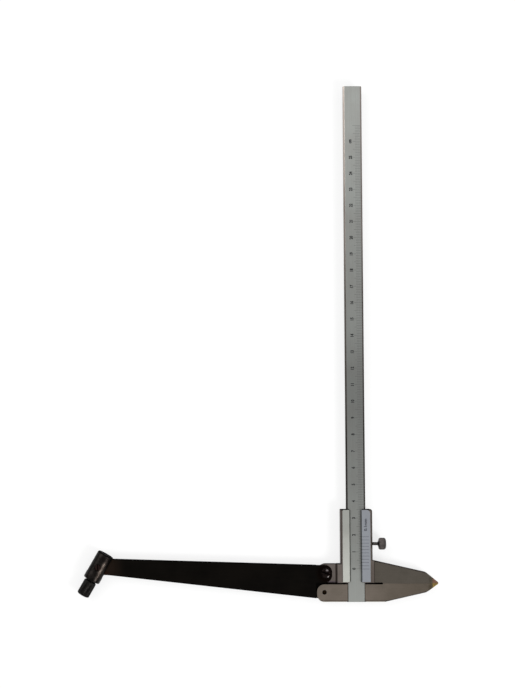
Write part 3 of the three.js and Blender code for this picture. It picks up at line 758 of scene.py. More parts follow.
class Bench:
    """Modelling steps, each done with Blender's own tools."""

    SHARP = math.radians(28.0)
    MERGE = 0.002 * MM
    LEVEL = math.radians(0.6)
    NEAR = 0.02 * MM
    CORNER_STEPS = 6
    CURVE_STEPS = 3
    CAPITAL = 0.73  # how tall a figure is, as a share of the text's size

    @staticmethod
    def pick(*objs: Piece) -> None:
        """Selects these objects alone, the first one active.

        Args:
            *objs: The objects.
        """
        for other in list(bpy.context.selected_objects):
            other.select_set(False)
        for obj in objs:
            obj.select_set(True)
        bpy.context.view_layer.objects.active = objs[0] if objs else None

    @staticmethod
    def settle(obj: Piece) -> None:
        """Puts a piece's place, turn and size into its mesh."""
        Bench.pick(obj)
        bpy.ops.object.transform_apply(location=True, rotation=True, scale=True)

    @staticmethod
    def named(name: str) -> Piece:
        """Names the new primitive and settles it.

        Args:
            name: Its name.

        Returns:
            The primitive.
        """
        obj = bpy.context.object
        obj.name = obj.data.name = name
        Bench.settle(obj)
        return obj

    @staticmethod
    @contextmanager
    def editing(
        obj: Piece, kind: Select = Select.FACES, action: str = "DESELECT"
    ) -> Iterator[bmesh.types.BMesh]:
        """Opens a piece in edit mode.

        Args:
            obj: The piece.
            kind: What is selected in it.
            action: SELECT to start with everything selected and DESELECT with nothing.

        Yields:
            The piece's edit mesh.
        """
        Bench.pick(obj)
        bpy.ops.object.mode_set(mode="EDIT")
        bpy.ops.mesh.select_mode(type=kind.value)
        bpy.ops.mesh.select_all(action=action)
        yield bmesh.from_edit_mesh(obj.data)
        bpy.ops.object.mode_set(mode="OBJECT")

    @staticmethod
    def resize(value: Point, centre: Point = (0.0, 0.0, 0.0)) -> None:
        """Resizes what is selected about a centre."""
        bpy.ops.transform.resize(value=value, center_override=centre)

    @staticmethod
    def block(name: str, low: Point, high: Point) -> Piece:
        """Adds a block between two corners.

        Args:
            name: The piece's name.
            low: Its lowest corner, in millimetres.
            high: Its highest corner.

        Returns:
            The block.
        """
        Bench.pick()
        start, end = Vector(low) * MM, Vector(high) * MM
        bpy.ops.mesh.primitive_cube_add(size=1.0, location=(start + end) / 2)
        bpy.context.object.scale = end - start
        return Bench.named(name)

    @staticmethod
    def turned(name: str, profile: Sequence[Pair], sides: int) -> Piece:
        """Turns a piece about Z: a disc that is extruded from height to height and resized.

        Args:
            name: The piece's name.
            profile: Radius and height, in millimetres, from one end face to the other.
            sides: How many sides it has.

        Returns:
            The turned piece.
        """
        Bench.pick()
        radius, height = profile[0]
        bpy.ops.mesh.primitive_circle_add(
            vertices=sides, radius=radius * MM, fill_type="NGON", location=(0.0, 0.0, height * MM)
        )
        obj = Bench.named(name)
        with Bench.editing(obj, action="SELECT"):
            for new_radius, new_height in profile[1:]:
                rise = (0.0, 0.0, (new_height - height) * MM)
                bpy.ops.mesh.extrude_region_move(TRANSFORM_OT_translate={"value": rise})
                share = new_radius / radius
                Bench.resize((share, share, 1.0))
                radius, height = new_radius, new_height
            bpy.ops.mesh.select_all(action="SELECT")
            bpy.ops.mesh.normals_make_consistent(inside=False)
        return obj

    @staticmethod
    def knurl(obj: Piece, radius: float, depth: float, sides: int) -> None:
        """Presses every second side line of a turned piece inwards.

        Args:
            obj: The turned piece.
            radius: The radius of its knurled band, in millimetres.
            depth: The depth of the teeth.
            sides: How many sides the piece has.
        """
        with Bench.editing(obj, Select.VERTICES) as mesh:
            for vertex in mesh.verts:
                flat = math.hypot(vertex.co.x, vertex.co.y)
                turn = round(math.atan2(vertex.co.y, vertex.co.x) / (2 * math.pi / sides))
                vertex.select_set(abs(flat - radius * MM) < Bench.NEAR and turn % 2 == 0)
            share = 1.0 - depth / radius
            Bench.resize((share, share, 1.0))

    @staticmethod
    def casting(node: str, name: str) -> Piece:
        """Copies a solid into a piece of its own, with its triangles merged into whole faces.

        Args:
            node: The solid's name.
            name: The piece's name.

        Returns:
            The piece.
        """
        mesh = frame["nodes"][node].data.copy()
        mesh.name = name
        mesh.materials.clear()
        obj = bpy.data.objects.new(name, mesh)
        bpy.context.scene.collection.objects.link(obj)
        with Bench.editing(obj, action="SELECT"):
            bpy.ops.mesh.remove_doubles(threshold=Bench.MERGE)
            bpy.ops.mesh.dissolve_limited(angle_limit=Bench.LEVEL)
            bpy.ops.mesh.normals_make_consistent(inside=False)
        return obj

    @staticmethod
    def applied(obj: Piece, kind: str, **settings: object) -> None:
        """Adds a modifier and applies it.

        Args:
            obj: The piece.
            kind: The modifier's type.
            **settings: Its settings.
        """
        modifier = obj.modifiers.new(kind.lower(), kind)
        for name, value in settings.items():
            setattr(modifier, name, value)
        Bench.pick(obj)
        bpy.ops.object.modifier_apply(modifier=modifier.name)

    @staticmethod
    def finished(obj: Piece, edge: float, angle: float = 32.0) -> None:
        """Breaks the sharp edges, then shades curved faces smoothly and flat faces flat.

        Args:
            obj: The piece.
            edge: How wide a broken edge is, in millimetres, or 0.0 to leave the edges as they are.
            angle: The largest turn between faces that still shades smoothly, in degrees.
        """
        if edge:
            limits = {"limit_method": "ANGLE", "angle_limit": Bench.SHARP, "miter_outer": "MITER_ARC"}
            Bench.applied(obj, "BEVEL", width=edge * MM, segments=2, **limits)
        Bench.pick(obj)
        bpy.ops.object.shade_smooth_by_angle(angle=math.radians(angle))
        Bench.applied(obj, "WEIGHTED_NORMAL", keep_sharp=True, weight=80)

    @staticmethod
    def combine(obj: Piece, other: Piece, operation: str = "DIFFERENCE") -> None:
        """Cuts another piece out of this one, or makes it part of this one's body, and clears it away."""
        Bench.applied(obj, "BOOLEAN", object=other, operation=operation, solver="EXACT")
        bpy.data.objects.remove(other)

    @staticmethod
    def slotted(obj: Piece, radius: float, width: float, top: float, depth: float = SLOT_DEPTH) -> None:
        """Cuts a slot along X through a screw's head.

        Args:
            obj: The screw, standing on the bench.
            radius: The head's radius, in millimetres.
            width: The slot's width.
            top: The height of the head.
            depth: The slot's depth.
        """
        reach, half = radius + OVERRUN, width / 2
        Bench.combine(obj, Bench.block("slot", (-reach, -half, top - depth), (reach, half, top + OVERRUN)))

    @staticmethod
    def sliced(obj: Piece, point: Point, normal: Point) -> None:
        """Cuts away what lies beyond a plane, and closes the cut.

        Args:
            obj: The piece.
            point: A point on the plane, in millimetres.
            normal: The way that leads out of the piece.
        """
        with Bench.editing(obj, action="SELECT"):
            bpy.ops.mesh.bisect(plane_co=Vector(point) * MM, plane_no=normal, use_fill=True, clear_outer=True)

    @staticmethod
    def joined(name: str, pieces: Sequence[Piece]) -> Piece:
        """Makes several pieces one.

        Args:
            name: The name of the whole.
            pieces: The pieces.

        Returns:
            The whole.
        """
        Bench.pick(*pieces)
        bpy.ops.object.join()
        pieces[0].name = pieces[0].data.name = name
        return pieces[0]

    @staticmethod
    def seated(obj: Piece, seat: Seat) -> None:
        """Moves a piece from the bench to its seat, in its mesh."""
        obj.matrix_world = seat.matrix()
        Bench.settle(obj)

    @staticmethod
    def row(name: str, low: Point, high: Point, count: int, step: float) -> Piece:
        """Makes a row of equal lines along Y.

        Args:
            name: The row's name.
            low: The first line's lowest corner, in millimetres.
            high: Its highest corner.
            count: How many lines there are.
            step: The distance between them.

        Returns:
            The row.
        """
        obj = Bench.block(name, low, high)
        spacing = {"use_constant_offset": True, "constant_offset_displace": (0.0, step * MM, 0.0)}
        Bench.applied(obj, "ARRAY", count=count, use_relative_offset=False, **spacing)
        return obj

    @staticmethod
    def words(name: str, text: str, height: float, squeeze: float, swell: float, centre: Point) -> Piece:
        """Cuts figures or letters that read up the beam.

        Args:
            name: The piece's name.
            text: What they say.
            height: How tall a figure is, in millimetres.
            squeeze: How narrow they are, as a share of the plain width.
            swell: How far their strokes are widened to each side.
            centre: The middle of their front.

        Returns:
            The figures as one piece.
        """
        Bench.pick()
        bpy.ops.object.text_add(location=(0.0, 0.0, 0.0))
        obj = bpy.context.object
        obj.data.body = text
        obj.data.size = height * MM / Bench.CAPITAL
        obj.data.extrude = MARK_DEPTH * MM / 2
        obj.data.offset = swell * MM
        obj.data.resolution_u = Bench.CURVE_STEPS
        bpy.ops.object.convert(target="MESH")
        obj = Bench.named(name)
        with Bench.editing(obj, action="SELECT"):
            bpy.ops.mesh.remove_doubles(threshold=Bench.MERGE / 2)
        corners = [Vector(corner) for corner in obj.bound_box]
        middle = (corners[0] + corners[6]) / 2
        place = Matrix.Translation(Vector(centre) * MM - Vector((0.0, 0.0, MARK_DEPTH * MM / 2)))
        turn = Matrix.Rotation(math.pi / 2, 4, "Z") @ Matrix.Diagonal((squeeze, 1.0, 1.0, 1.0))
        obj.matrix_world = place @ turn @ Matrix.Translation(-middle)
        Bench.settle(obj)
        return obj


def joint(name: str) -> dict:
    """Returns what the frame says about a joint."""
    return next(entry for entry in frame["joints"] if entry["name"] == name)


def joint_place(name: str) -> Point:
    """Returns where a joint is, in millimetres."""
    return tuple(value / MM for value in joint(name)["pos_m"])


def box_of(node: str) -> tuple[Vector, Vector]:
    """Returns a solid's lowest and highest corner, in millimetres."""
    low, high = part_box(node)
    return low / MM, high / MM


def middle_of(node: str) -> tuple[Vector, float]:
    """Returns a solid's middle and half its width, in millimetres."""
    low, high = box_of(node)
    return (low + high) / 2, (high.x - low.x) / 2


def is_bevel(face: Face) -> bool:
    """Tells whether a face slopes towards the front."""
    return SLOPE < face.normal.z < FLAT


def in_relief(face: Face) -> bool:
    """Tells whether a face is a wall or the floor of the dark groove between the jaws.

    Args:
        face: The face.

    Returns:
        Whether it is.
    """
    place = face.center / MM
    near = abs(place.y - box_of("fixed_jaw")[1].y) < RELIEF_HALF
    return near and RELIEF_DEPTHS[0] < place.z < RELIEF_DEPTHS[1] and place.x < RELIEF_END


def in_slot(width: float, floor: float) -> Test:
    """Makes the test for the walls and the floor of a slot along X.

    Args:
        width: The slot's width, in millimetres.
        floor: The height of its floor.

    Returns:
        The test.
    """
    aside, under = SLOT_MARGINS
    inside, above = (width / 2 + aside) * MM, (floor - under) * MM
    return lambda face: abs(face.center.y) < inside and face.center.z > above


def rounding(radius: float, level: float, steps: Sequence[Pair], side: float = 1.0) -> list[Pair]:
    """Works out the rounded end of a turned piece, in millimetres.

    Args:
        radius: The piece's radius.
        level: The height of its end.
        steps: How far each point lies inwards from the radius and away from the level.
        side: 1.0 where the piece lies above its end and -1.0 where it lies below.

    Returns:
        Radius and height of each point.
    """
    return [(radius - inset, level + side * way) for inset, way in steps]


def thread(radius: float, core: float, start: float, end: float, pitch: float) -> list[Pair]:
    """Works out the rings of a thread, in millimetres.

    Args:
        radius: The radius of its crests.
        core: The radius of its roots, as a share of that.
        start: The height of the first crest.
        end: The height that the last crest stays under.
        pitch: The distance between crests.

    Returns:
        Radius and height of each crest and root.
    """
    rings, height = [(radius, start)], start
    while height + pitch < end:
        rings += [(core * radius, height + pitch / 2), (radius, height + pitch)]
        height += pitch
    return rings


class Assembly:
    """A group of pieces that ride on one body."""

    body: Body

    def dress(
        self,
        obj: Piece,
        *finishes: Steel,
        tints: Sequence[tuple[int, Test]] = (),
        edge: float | None = None,
        angle: float = 32.0,
        seat: Seat | None = None,
        stands_for: Sequence[str] = (),
    ) -> None:
        """Finishes a piece, seats it, gives it its body, and reports it.

        Args:
            obj: The piece.
            *finishes: Its finishes, in the order of their numbers.
            tints: Numbers of finishes, each with the test that a face has to pass to get it.
            edge: How wide its broken edges are, in millimetres, or None to leave its shading too.
            angle: The largest turn between faces that still shades smoothly, in degrees.
            seat: Where it stands, if it was made on the bench.
            stands_for: The solids that it stands for.
        """
        for finish in finishes:
            obj.data.materials.append(finish.material())
        for number, test in tints:
            for polygon in filter(test, obj.data.polygons):
                polygon.material_index = number
        if edge is not None:
            Bench.finished(obj, edge, angle)
        if seat:
            Bench.seated(obj, seat)
        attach(obj, self.body.value)
        if stands_for:
            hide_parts(*stands_for)
        LOG.info("%s: %d faces on %s", obj.name, len(obj.data.polygons), self.body.value)

    def dress_casting(self, node: str, name: str, *finishes: Steel, **settings: object) -> None:
        """Copies a solid and dresses the copy in its place."""
        self.dress(Bench.casting(node, name), *finishes, stands_for=[node], **settings)


@dataclass
class GraduatedBeam(Assembly):
    """The beam with its scale, and the stop screw on its back."""

    body: Body = Body.BEAM
    chamfer_width: float = 1.0
    chamfer_depth: float = 0.8
    chamfer_normals: Pair = (0.2, 0.9)
    edge: float = 0.07
    centimetres: int = 27
    figures: int = 26
    line_width: float = 0.13
    line_proud: float = 0.006
    line_right: float = 4.76
    short_left: float = 1.5
    half_left: float = 0.3
    long_left: float = -0.05
    figure_height: float = 1.9
    figure_squeeze: float = 0.82
    figure_middle: float = -1.33
    figure_swell: float = 0.12
    stop_shank: tuple[Pair, ...] = ((1.1, -2.2), (1.1, 0.0))
    stop_head: float = 1.2
    stop_crown: Pair = (0.86, 0.8)
    stop_slot: float = 0.5
    stop_edge: float = 0.06
    stop_front: Point = (0.5, 1.0, 0.0)

    def build(self) -> None:
        """Builds the beam, its scale and its stop screw."""
        self.build_beam()
        self.build_scale()
        self.build_stop_screw()

    def build_beam(self) -> None:
        """Chamfers a bar on its two front edges, breaks its edges and finishes it."""
        low, high = box_of("beam")
        bar = Bench.block("beam_dressed", low, high)
        slope = Vector((self.chamfer_depth, 0.0, self.chamfer_width)).normalized()
        for side in (-1.0, 1.0):
            point = (side * (high.x - self.chamfer_width), 0.0, high.z)
            Bench.sliced(bar, point, (side * slope.x, 0.0, slope.z))
        least, most = self.chamfer_normals
        # Painted reflection and shade: each chamfer gets its own toned copy of the chrome.
        tints = (
            (1, lambda face: least < -face.normal.x < most),
            (2, lambda face: least < face.normal.x < most),
        )
        finishes = (Finishes.BEAM, Finishes.CHAMFER_LEFT, Finishes.CHAMFER_RIGHT)
        self.dress(bar, *finishes, tints=tints, edge=self.edge, stands_for=["beam"])

    def build_scale(self) -> None:
        """Rules the millimetres, half centimetres and centimetres, and cuts the figures."""
        front = box_of("beam")[1].z
        level, foot = front + self.line_proud, front - MARK_DEPTH
        wide = self.line_width
        start = SCALE_ZERO - wide / 2
        rows = [
            ("short", self.short_left, self.line_right, 0.0, 10 * self.centimetres + 1, 1.0),
            ("half", self.half_left, self.short_left, 5.0, self.centimetres, 10.0),
            ("long", self.long_left, self.short_left, 0.0, self.centimetres + 1, 10.0),
        ]
        lines = [
            Bench.row(name, (left, start + rise, foot), (right, start + rise + wide, level), count, step)
            for name, left, right, rise, count, step in rows
        ]
        self.dress(Bench.joined("scale_lines", lines), Finishes.ENGRAVED)
        style = (self.figure_height, self.figure_squeeze, self.figure_swell)
        words = [
            Bench.words("figure", mark, *style, (self.figure_middle, SCALE_ZERO + 10.0 * number, level))
            for number, mark in enumerate([*map(str, range(self.figures)), "cm"])
        ]
        self.dress(Bench.joined("scale_figures", words), Finishes.FIGURE)

    def build_stop_screw(self) -> None:
        """Turns the slotted stop screw on the back of the far end."""
        middle, radius = middle_of("beam_stop_screw")
        tall, (crown, shoulder) = self.stop_head, self.stop_crown
        head = [(radius, 0.0), (radius, shoulder * tall), (crown * radius, tall)]
        screw = Bench.turned("stop_screw_dressed", [*self.stop_shank, *head], SCREW_SIDES)
        Bench.slotted(screw, radius, self.stop_slot, tall)
        seat = Seat((middle.x, middle.y, box_of("beam_stop_screw")[0].z + tall), DOWN, self.stop_front)
        self.dress(screw, Finishes.BRIGHT, edge=self.stop_edge, seat=seat, stands_for=["beam_stop_screw"])


@dataclass
class FixedJaw(Assembly):
    """The jaw at the beam's foot, with its gold tip and its rivets."""

    body: Body = Body.BEAM
    edge: float = 0.1
    rivets: int = 3
    rivet_shank: tuple[Pair, ...] = ((1.15, -3.2), (1.2, -0.7))
    rivet_proud: float = 0.02
    rivet_crown: float = 0.9
    rivet_mark: tuple[Pair, ...] = ((0.4, 0.02), (0.12, -0.25))

    def build(self) -> None:
        """Builds the jaw, its tip and its rivets."""
        # Painted light and shade: lighter bevels towards the foot, darker bevels facing +X, and a dead black
        # groove between the jaws.
        tints = (
            (1, lambda face: is_bevel(face) and face.normal.y < -0.2),
            (3, lambda face: is_bevel(face) and face.normal.x > 0.1),
            (2, in_relief),
        )
        finishes = (Finishes.FIXED, Finishes.FIXED_EDGE, Finishes.RELIEF, Finishes.EDGE)
        self.dress_casting("fixed_jaw", "fixed_jaw_dressed", *finishes, tints=tints, edge=self.edge)
        self.dress_casting("fixed_jaw_tip", "fixed_tip_dressed", Finishes.GOLD, edge=TIP_EDGE)
        for number in range(1, self.rivets + 1):
            self.build_rivet(number)

    def build_rivet(self, number: int) -> None:
        """Turns one countersunk rivet with a centre mark.

        Args:
            number: Which rivet it is.
        """
        node = f"jaw_rivet_{number}"
        middle, radius = middle_of(node)
        head = [(radius, 0.0), (self.rivet_crown * radius, self.rivet_proud)]
        profile = [*self.rivet_shank, *head, *self.rivet_mark]
        rivet = Bench.turned(f"rivet_{number}_dressed", profile, SCREW_SIDES)
        seat = Seat((middle.x, middle.y, box_of(node)[0].z + self.rivet_proud), DOWN)
        self.dress(rivet, Finishes.RIVET, edge=0.0, seat=seat, stands_for=[node])


@dataclass
class VernierSlider(Assembly):
    """The sliding head: body, gold tip, the two plates and the vernier."""

    body: Body = Body.SLIDER
    edge: float = 0.1
    blade_start: float = 10.55
    ear_end: float = -10.0
    wall_end: float = -8.0
    top_bevel: float = 50.0
    top_slope: float = 0.5
    jaw_top: float = 12.0
    divisions: int = 10
    division: float = 1.9
    line_width: float = 0.22
    line_reach: float = 4.1
    line_sink: float = 0.014
    line_proud: float = 0.004
    plate_drop: float = 0.4
    plate_edge: float = 0.08
    apron: float = 0.7
    apron_gap: float = 0.08
    apron_lap: float = 0.1
    guide_corner: float = 0.8
    vernier_corner: float = 2.0
    text_height: float = 1.75
    text_squeeze: float = 1.1
    text_swell: float = 0.06
    text_shift: float = 0.35
    text_middle: float = 26.0

    def build(self) -> None:
        """Builds the body, the tip, the plates, the vernier and the spring."""
        ear, wall = self.ear_end, self.wall_end
        # Painted shade: darker bevels, darker ear walls facing -X, and a dead black in the groove, on the
        # top's bevel and on walls facing up the beam.
        tints = (
            (1, lambda face: face.center.x > self.blade_start * MM),
            (2, is_bevel),
            (0, lambda face: face.normal.z > SLOPE and face.center.x < ear * MM),
            (4, lambda face: ear < face.center.x / MM < wall and face.normal.x < -SLOPE),
            (3, self.gets_painted_shade),
        )
        finishes = (Finishes.SLEEVE, Finishes.BLADE, Finishes.EDGE, Finishes.RELIEF, Finishes.SLEEVE_EDGE)
        self.dress_casting("slider_body", "slider_dressed", *finishes, tints=tints, edge=self.edge)
        self.dress_casting("moving_jaw_tip", "moving_tip_dressed", Finishes.GOLD, edge=TIP_EDGE)
        self.build_plate("guide_plate", 1.0, self.guide_corner, Finishes.GUIDE, Finishes.GUIDE_EDGE)
        self.build_plate("vernier_plate", -1.0, self.vernier_corner, Finishes.VERNIER, Finishes.VERNIER_EDGE)
        self.build_vernier()
        self.dress_casting("leaf_spring", "leaf_spring_dressed", Finishes.SPRING, edge=0.0)

    def gets_painted_shade(self, face: Face) -> bool:
        """Tells whether a face gets painted shade: in the groove, on the top's bevel or on a wall that faces
        up the beam.

        Args:
            face: The face.

        Returns:
            Whether it is.
        """
        place = face.center / MM
        leans_up = face.normal.y > self.top_slope and face.normal.z > SLOPE
        upper_wall = face.normal.y > SLOPE and abs(face.normal.z) < SLOPE and self.jaw_top < place.y
        return in_relief(face) or upper_wall or (leans_up and place.y > self.top_bevel)

    def slope(self, top: float) -> Pair:
        """Returns how wide and how tall a plate's bevel is, from the height of its face."""
        return self.apron, top - box_of("beam")[1].z - self.apron_gap

    def build_plate(self, node: str, side: float, corner: float, face: Steel, bevel: Steel) -> None:
        """Cuts a plate on the slider's face, with a bevel from its inner edge down to the beam.

        Args:
            node: The plate's solid.
            side: Which way the bevel falls, 1.0 for +X and -1.0 for -X.
            corner: The radius of its outer upper corner, in millimetres.
            face: The finish of the plate.
            bevel: The finish of the bevel, a darker copy that paints shade there.
        """
        low, high = box_of(node)
        low.y += self.plate_drop
        plate = Bench.block(node + "_dressed", low, high - Vector((0.0, 0.0, PLATE_SINK)))
        outer, inner = (low.x, high.x) if side > 0 else (high.x, low.x)
        self.round_corner(plate, outer, high.y, corner)
        low, high = (Vector(point) / MM for point in (plate.bound_box[0], plate.bound_box[6]))
        wide, tall = self.slope(high.z)
        ends = sorted((inner - side * self.apron_lap, inner + side * wide))
        apron = Bench.block("apron", (ends[0], low.y, high.z - tall), (ends[1], high.y, high.z))
        Bench.sliced(apron, (inner, 0.0, high.z), (side * tall, 0.0, wide))
        Bench.combine(plate, apron, "UNION")
        tints = [(1, lambda part: side * part.normal.x > SLOPE)]
        self.dress(plate, face, bevel, tints=tints, edge=self.plate_edge, stands_for=[node])

    @staticmethod
    def round_corner(plate: Piece, x: float, y: float, radius: float) -> None:
        """Rounds one upright corner of a plate.

        Args:
            plate: The plate.
            x: Where the corner is along X, in millimetres.
            y: Where it is along Y.
            radius: Its radius.
        """
        with Bench.editing(plate, Select.EDGES) as mesh:
            for edge in mesh.edges:
                ends = [vertex.co / MM for vertex in edge.verts]
                edge.select_set(all(math.hypot(end.x - x, end.y - y) * MM < Bench.NEAR for end in ends))
            bpy.ops.mesh.bevel(offset=radius * MM, segments=Bench.CORNER_STEPS, affect="EDGES")

    def build_vernier(self) -> None:
        """Rules the vernier's lines and cuts its words."""
        low, high = box_of("vernier_plate")
        level = high.z - self.line_sink
        wide, tall = self.slope(level)
        start = SCALE_ZERO - self.line_width / 2
        first = (low.x - wide, start, level - tall)
        last = (low.x + self.line_reach, start + self.line_width, level)
        lines = Bench.row("vernier_lines", first, last, self.divisions + 1, self.division)
        Bench.sliced(lines, (low.x, 0.0, level + self.line_proud), (-tall, 0.0, wide))
        self.dress(lines, Finishes.VERNIER_LINE)
        place = ((low.x + high.x) / 2 - self.text_shift, SCALE_ZERO + self.text_middle, level)
        style = (self.text_height, self.text_squeeze, self.text_swell)
        self.dress(Bench.words("vernier_words", "0.1mm", *style, place), Finishes.VERNIER_WORD)


@dataclass
class LockScrew(Assembly):
    """The knurled screw on the slider's right edge."""

    body: Body = Body.LOCK
    sides: int = 80
    shank: float = 1.0
    shank_shown: float = 3.7
    point: Pair = (0.8, 0.2)
    thread_core: float = 0.9
    thread_end: float = 0.9
    pitch: float = 0.45
    collar: tuple[Pair, ...] = ((0.85, -0.8), (0.9, -0.6), (1.9, -0.12), (2.2, 0.0))
    head: float = 3.5
    head_length: float = 4.6
    shoulder: tuple[Pair, ...] = ((1.1, 0.0), (0.55, 0.16), (0.2, 0.45), (0.0, 0.95))
    crown: tuple[Pair, ...] = ((0.0, 1.25), (0.1, 0.85), (0.35, 0.5), (0.75, 0.22), (1.3, 0.06))
    dimple: tuple[Pair, ...] = ((1.3, 0.0), (1.15, -0.12))
    tooth: float = 0.16

    def build(self) -> None:
        """Turns the threaded shank and the knurled head."""
        place = joint_place("lock_screw_turn")
        foot, base, rim = box_of("lock_screw")[0].x - place[0], self.shank_shown, self.head
        top = base + self.head_length
        core, rise = self.point
        screw = Bench.turned(
            "lock_screw_dressed",
            [
                (core * self.shank, foot),
                *thread(self.shank, self.thread_core, foot + rise, base - self.thread_end, self.pitch),
                *((radius, base + height) for radius, height in self.collar),
                *rounding(rim, base, self.shoulder),
                (rim, (base + top) / 2),
                *rounding(rim, top, self.crown, -1.0),
                *((radius, top + height) for radius, height in self.dimple),
            ],
            self.sides,
        )
        Bench.knurl(screw, rim, self.tooth, self.sides)
        seat = Seat(place, (1.0, 0.0, 0.0), UP)
        self.dress(screw, Finishes.LOCK, edge=0.0, angle=24.0, seat=seat, stands_for=["lock_screw"])


@dataclass
class ArmPivot(Assembly):
    """The slotted shoulder screw that the side arm turns on."""

    body: Body = Body.SLIDER
    sides: int = 64
    shank: tuple[Pair, ...] = ((1.2, 0.0), (1.2, 2.0), (1.5, 2.05))
    neck: float = 1.5
    head_height: float = 1.5
    shoulder: tuple[Pair, ...] = ((0.1, 0.0), (0.0, 0.1))
    dome: tuple[Pair, ...] = ((0.0, 0.62), (0.12, 0.38), (0.42, 0.16), (0.95, 0.04))
    crown: float = 1.4
    slot_width: float = 0.8
    slot_depth: float = 0.8
    slot_angle: float = -20.0
    edge: float = 0.07

    def build(self) -> None:
        """Turns the screw, domes its head and cuts its slot."""
        low, high = box_of("arm_pivot_screw")
        radius, top, base = (high.x - low.x) / 2, high.z, high.z - self.head_height
        screw = Bench.turned(
            "arm_pivot_screw_dressed",
            [
                *((shank, low.z + height) for shank, height in self.shank),
                (self.neck, base),
                *rounding(radius, base, self.shoulder),
                *rounding(radius, top, self.dome, -1.0),
                (self.crown, top),
            ],
            self.sides,
        )
        Bench.slotted(screw, radius, self.slot_width, top, self.slot_depth)
        turn, place = math.radians(self.slot_angle), joint_place("arm_fold")
        # Painted shade: the slot's walls and floor are dead black.
        self.dress(
            screw,
            Finishes.PIVOT,
            Finishes.SLOT,
            tints=[(1, in_slot(self.slot_width, top - self.slot_depth))],
            edge=self.edge,
            seat=Seat((place[0], place[1], 0.0), UP, (-math.sin(turn), math.cos(turn), 0.0)),
            stands_for=["arm_pivot_screw"],
        )


@dataclass
class SideArm(Assembly):
    """The long black arm and the washer on its root."""

    body: Body = Body.ARM
    edge: float = 0.12
    seam: float = 0.1
    tail_drop: float = 5.725
    tail_zone: float = 0.6
    shoulder_reach: float = 9.0
    shoulder_zone: float = 0.45

    def build(self) -> None:
        """Builds the arm and its washer."""
        arm = Bench.casting("arm", "arm_dressed")
        self.close_seam(arm)
        # Painted shade: dead black bevels and darker, duller sides.
        tints = (1, is_bevel), (2, lambda face: abs(face.normal.z) < SLOPE)
        finishes = (Finishes.ARM, Finishes.ARM_EDGE, Finishes.ARM_SIDE)
        self.dress(arm, *finishes, tints=tints, edge=self.edge, stands_for=["arm"])
        self.dress_casting("arm_washer", "arm_washer_dressed", Finishes.WASHER, edge=self.edge)

    def close_seam(self, arm: Piece) -> None:
        """Squares the arm's tail and brings it nearer to the slider, so that no light falls through.

        Args:
            arm: The arm.
        """
        right, reach, zone = box_of("arm")[1].x, self.shoulder_reach, self.shoulder_zone
        shoulder = joint_place("arm_fold")[1] - self.tail_drop
        for axis, plane, test in (
            (0, right, lambda place: place.x > right - self.tail_zone),
            (1, shoulder, lambda place: place.x > right - reach and abs(place.y - shoulder) < zone),
        ):
            with Bench.editing(arm, Select.VERTICES) as mesh:
                for vertex in mesh.verts:
                    vertex.select_set(test(vertex.co / MM))
                flat, centre = [1.0, 1.0, 1.0], [0.0, 0.0, 0.0]
                flat[axis], centre[axis] = 0.0, (plane + self.seam) * MM
                Bench.resize(flat, centre)


@dataclass
class ClampBarrel(Assembly):
    """The forked barrel at the arm's end and its cross screw."""

    body: Body = Body.BARREL
    sides: int = 96
    radius: float = 5.2
    above: float = 8.9
    below: float = 8.8
    mouth: tuple[Pair, ...] = ((1.7, 0.2), (1.9, 0.0))
    end_rounding: tuple[Pair, ...] = ((0.8, 0.0), (0.38, 0.1), (0.1, 0.36), (0.0, 0.75))
    edge: float = 0.08
    end: float = 0.8
    fork: float = 3.24
    fork_floor: float = -4.75
    screw: float = 1.85
    screw_shank: tuple[Pair, ...] = ((1.1, 0.5), (1.2, 0.6))
    screw_drop: float = 0.15
    screw_head: float = 0.9
    screw_crown: tuple[Pair, ...] = ((0.0, 0.2), (0.22, 0.04))
    screw_flat: float = 1.0
    screw_ring: float = 2.05
    screw_sink: float = 1.15
    screw_edge: float = 0.05
    screw_front: Point = (1.0, 0.1, 0.0)
    slot: float = 0.5

    def build(self) -> None:
        """Turns the barrel, forks it, and turns its screw."""
        radius, above, half = self.radius, self.above, self.fork / 2
        barrel = Bench.turned(
            "clamp_barrel_dressed",
            [
                *((mouth, height - self.below) for mouth, height in self.mouth),
                *rounding(radius, -self.below, self.end_rounding),
                *rounding(radius, above, self.end_rounding[::-1], -1.0),
            ],
            self.sides,
        )
        reach = radius + OVERRUN
        fork = Bench.block("fork", (-reach, -half, self.fork_floor), (reach, half, above + OVERRUN))
        Bench.combine(barrel, fork)
        floor = radius - self.screw_sink
        sink = Bench.turned("sink", [(self.screw_ring, floor), (self.screw_ring, reach)], SCREW_SIDES)
        Bench.seated(sink, Seat((0.0, 0.0, 0.0), (0.0, 1.0, 0.0), (1.0, 0.0, 0.0)))
        Bench.combine(barrel, sink)
        Bench.finished(barrel, self.edge)
        place = joint_place("barrel_swivel")
        along = tuple(-Vector(joint("clamp_knob_turn")["axis"]))
        # Painted shade: the faces near the barrel's top end get a dead black.
        self.dress(
            barrel,
            Finishes.BARREL,
            Finishes.BARREL_END,
            tints=[(1, lambda face: face.center.z > (above - self.end) * MM)],
            seat=Seat(place, along, UP),
            stands_for=["clamp_barrel"],
        )
        self.build_screw(place)

    def build_screw(self, place: Point) -> None:
        """Turns the cross screw and slots its head.

        Args:
            place: Where the screw stands, in millimetres.
        """
        top = self.radius - self.screw_drop
        screw = Bench.turned(
            "barrel_screw_dressed",
            [
                *((shank, height - self.radius) for shank, height in self.screw_shank),
                (self.screw_shank[-1][0], top - self.screw_head),
                (self.screw, top - self.screw_head),
                *rounding(self.screw, top, self.screw_crown, -1.0),
                (self.screw_flat, top),
            ],
            SCREW_SIDES,
        )
        Bench.slotted(screw, self.screw, self.slot, top)
        # Painted shade: the slot's walls and floor are dead black.
        self.dress(
            screw,
            Finishes.CROSS_SCREW,
            Finishes.SLOT,
            tints=[(1, in_slot(self.slot, top - SLOT_DEPTH))],
            edge=self.screw_edge,
            seat=Seat(place, UP, self.screw_front),
            stands_for=["barrel_pivot_screw"],
        )


